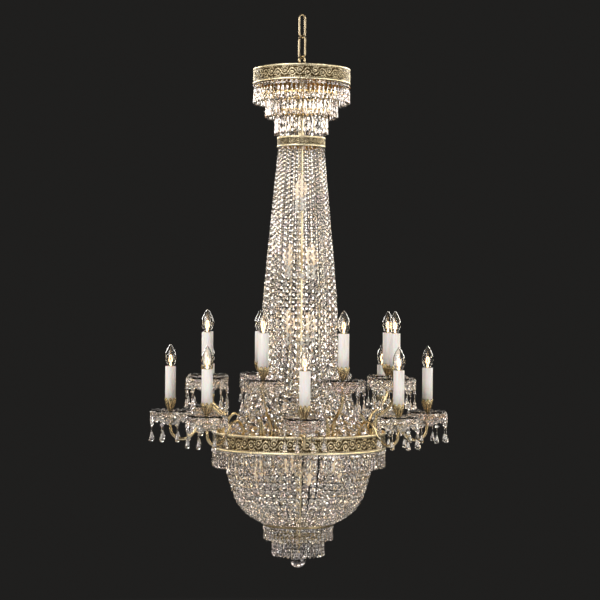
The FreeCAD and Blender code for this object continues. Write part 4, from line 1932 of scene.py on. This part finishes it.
@dataclass
class Studio:
    """The floor, the light and the camera."""

    focal: float = 1740.0
    picture: float = 600.0
    sensor: float = 36.0
    distance: float = 4.67
    eye_height: float = -0.80
    azimuth: float = 2.3
    pitch: float = 0.44
    roll: float = 0.45
    floor_level: float = -2.7
    floor_radii: Point = (0.2, 9.0)
    floor_sides: int = 64
    air_tint: Colour = (1.0, 0.97, 0.92)
    air: tuple[Point, ...] = (
        (0.0, 0.05), (0.34, 0.26), (0.41, 0.014), (0.59, 0.014), (0.70, 0.22), (0.86, 0.04),
    )

    def build(self) -> None:
        """Set up the studio."""
        self._floor(Plaster("floor").paint())
        self._world()
        for lamp in LAMPS:
            lamp.hang()
        self._camera()
        bpy.context.scene.view_settings.view_transform = "Standard"

    def _floor(self, finish: bpy.types.Material) -> None:
        """Lay the floor.

        Args:
            finish: its material.
        """
        rings = [circle(radius, self.floor_level, self.floor_sides) for radius in self.floor_radii]
        points, faces = stack(rings, ends=False)
        sheet = Sheet()
        sheet.add((points, faces + [tuple(range(self.floor_sides))]), soft=False)
        sheet.made("floor", [finish])

    def _world(self) -> None:
        """Stand the object before a dark backdrop, with soft bright bands over and under it."""
        world = bpy.data.worlds.new("air")
        bpy.context.scene.world = world
        brush = Painter(world)
        way = brush.node("ShaderNodeTexCoord", {}, {}, "Generated")
        up = brush.node("ShaderNodeSeparateXYZ", {}, {"Vector": way}, "Z")
        stops = [(place, tuple(tone * c for c in self.air_tint)) for place, tone in self.air]
        back = brush.node("ShaderNodeBackground", {}, {"Color": brush.ramp(up * 0.5 + 0.5, stops)})
        brush.node("ShaderNodeOutputWorld", {}, {"Surface": back})

    def _camera(self) -> None:
        """Stand the camera where the photograph was taken from."""
        data = bpy.data.cameras.new("camera")
        data.sensor_fit = "HORIZONTAL"
        data.sensor_width = self.sensor
        data.lens = self.focal / self.picture * self.sensor
        camera = bpy.data.objects.new("camera", data)
        turn = math.radians(self.azimuth)
        east, north = -self.distance * math.sin(turn), -self.distance * math.cos(turn)
        camera.location = (east, north, self.eye_height)
        tilt = Matrix.Rotation(math.radians(90.0 + self.pitch), 3, "X")
        aim = Matrix.Rotation(-turn, 3, "Z") @ tilt
        camera.rotation_euler = (aim @ Matrix.Rotation(math.radians(self.roll), 3, "Z")).to_euler()
        bpy.context.scene.collection.objects.link(camera)
        bpy.context.scene.camera = camera


# ------------------------------------------------------------------------ main


BANDS = (
    Band("crown_band", 0.129, 20, 1.3, ledge=0.008),
    Band("neck_band", 0.063, 17, 1.37, ledge=0.009, rows=16),
    Band("main_band", 0.230, 34, 1.18, ledge=0.034, rim_out=0.003),
)

CURTAINS = (
    Curtain("crown_drops_upper", 64, 0.1275, 0.043),
    Curtain("crown_drops_middle", 50, 0.0955, 0.052),
    Curtain("crown_drops_lower", 36, 0.0695, 0.052),
    Curtain("main_drops", 104, 0.230, 0.037),
    Curtain("base_drops_upper", 46, 0.091, 0.027),
    Curtain("base_drops_lower", 36, 0.0685, 0.038),
)

KEPT_SOLIDS = {
    "chain_link_upper": Finish.PLAIN,
    "chain_link_lower": Finish.PLAIN,
    "hanger_eye": Finish.GILT,
    "central_stem": Finish.PALE,
    "lock_nuts": Finish.AGED,
    "crown_spider": Finish.RICH,
    "crown_ring_middle": Finish.RICH,
    "crown_ring_lower": Finish.RICH,
    "neck_spider": Finish.RICH,
    "main_spider": Finish.RICH,
    "base_ring": Finish.AGED,
    "base_ring_small": Finish.AGED,
    "finial_cap": Finish.GILT,
    "column_lampholders": Finish.GLAZED,
    "lower_lampholders": Finish.GLAZED,
    "upper_lampholders": Finish.GLAZED,
    "basket_lampholders": Finish.GLAZED,
    "column_bulbs": Finish.LAMP_GLOW,
    "basket_bulbs": Finish.LAMP_GLOW,
}


def dress_solids(palette: Palette) -> None:
    """Give the solids that stay their own materials.

    Args:
        palette: the materials by finish.
    """
    for node, finish in KEPT_SOLIDS.items():
        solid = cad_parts[node]
        solid.data.materials.clear()
        solid.data.materials.append(palette[finish])
        log.info("%s: kept, in %s", node, finish.value.name)


def main() -> None:
    """Build the whole chandelier in order, then its studio."""
    palette = {finish: finish.value.paint() for finish in Finish}
    for part in (*BANDS, *CURTAINS, tent(), basket()):
        part.build(palette)
    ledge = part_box("lower_arms")[0][2]
    rings = candle_rings(ledge)
    for ring in rings:
        ring.build_arms(palette)
    for ring in rings:
        ring.build_candles(palette)
    Leaves(ledge).build(palette)
    Finial().build(palette)
    dress_solids(palette)
    Studio().build()


if __name__ == "__main__":
    logging.basicConfig(level=logging.INFO)
    main()
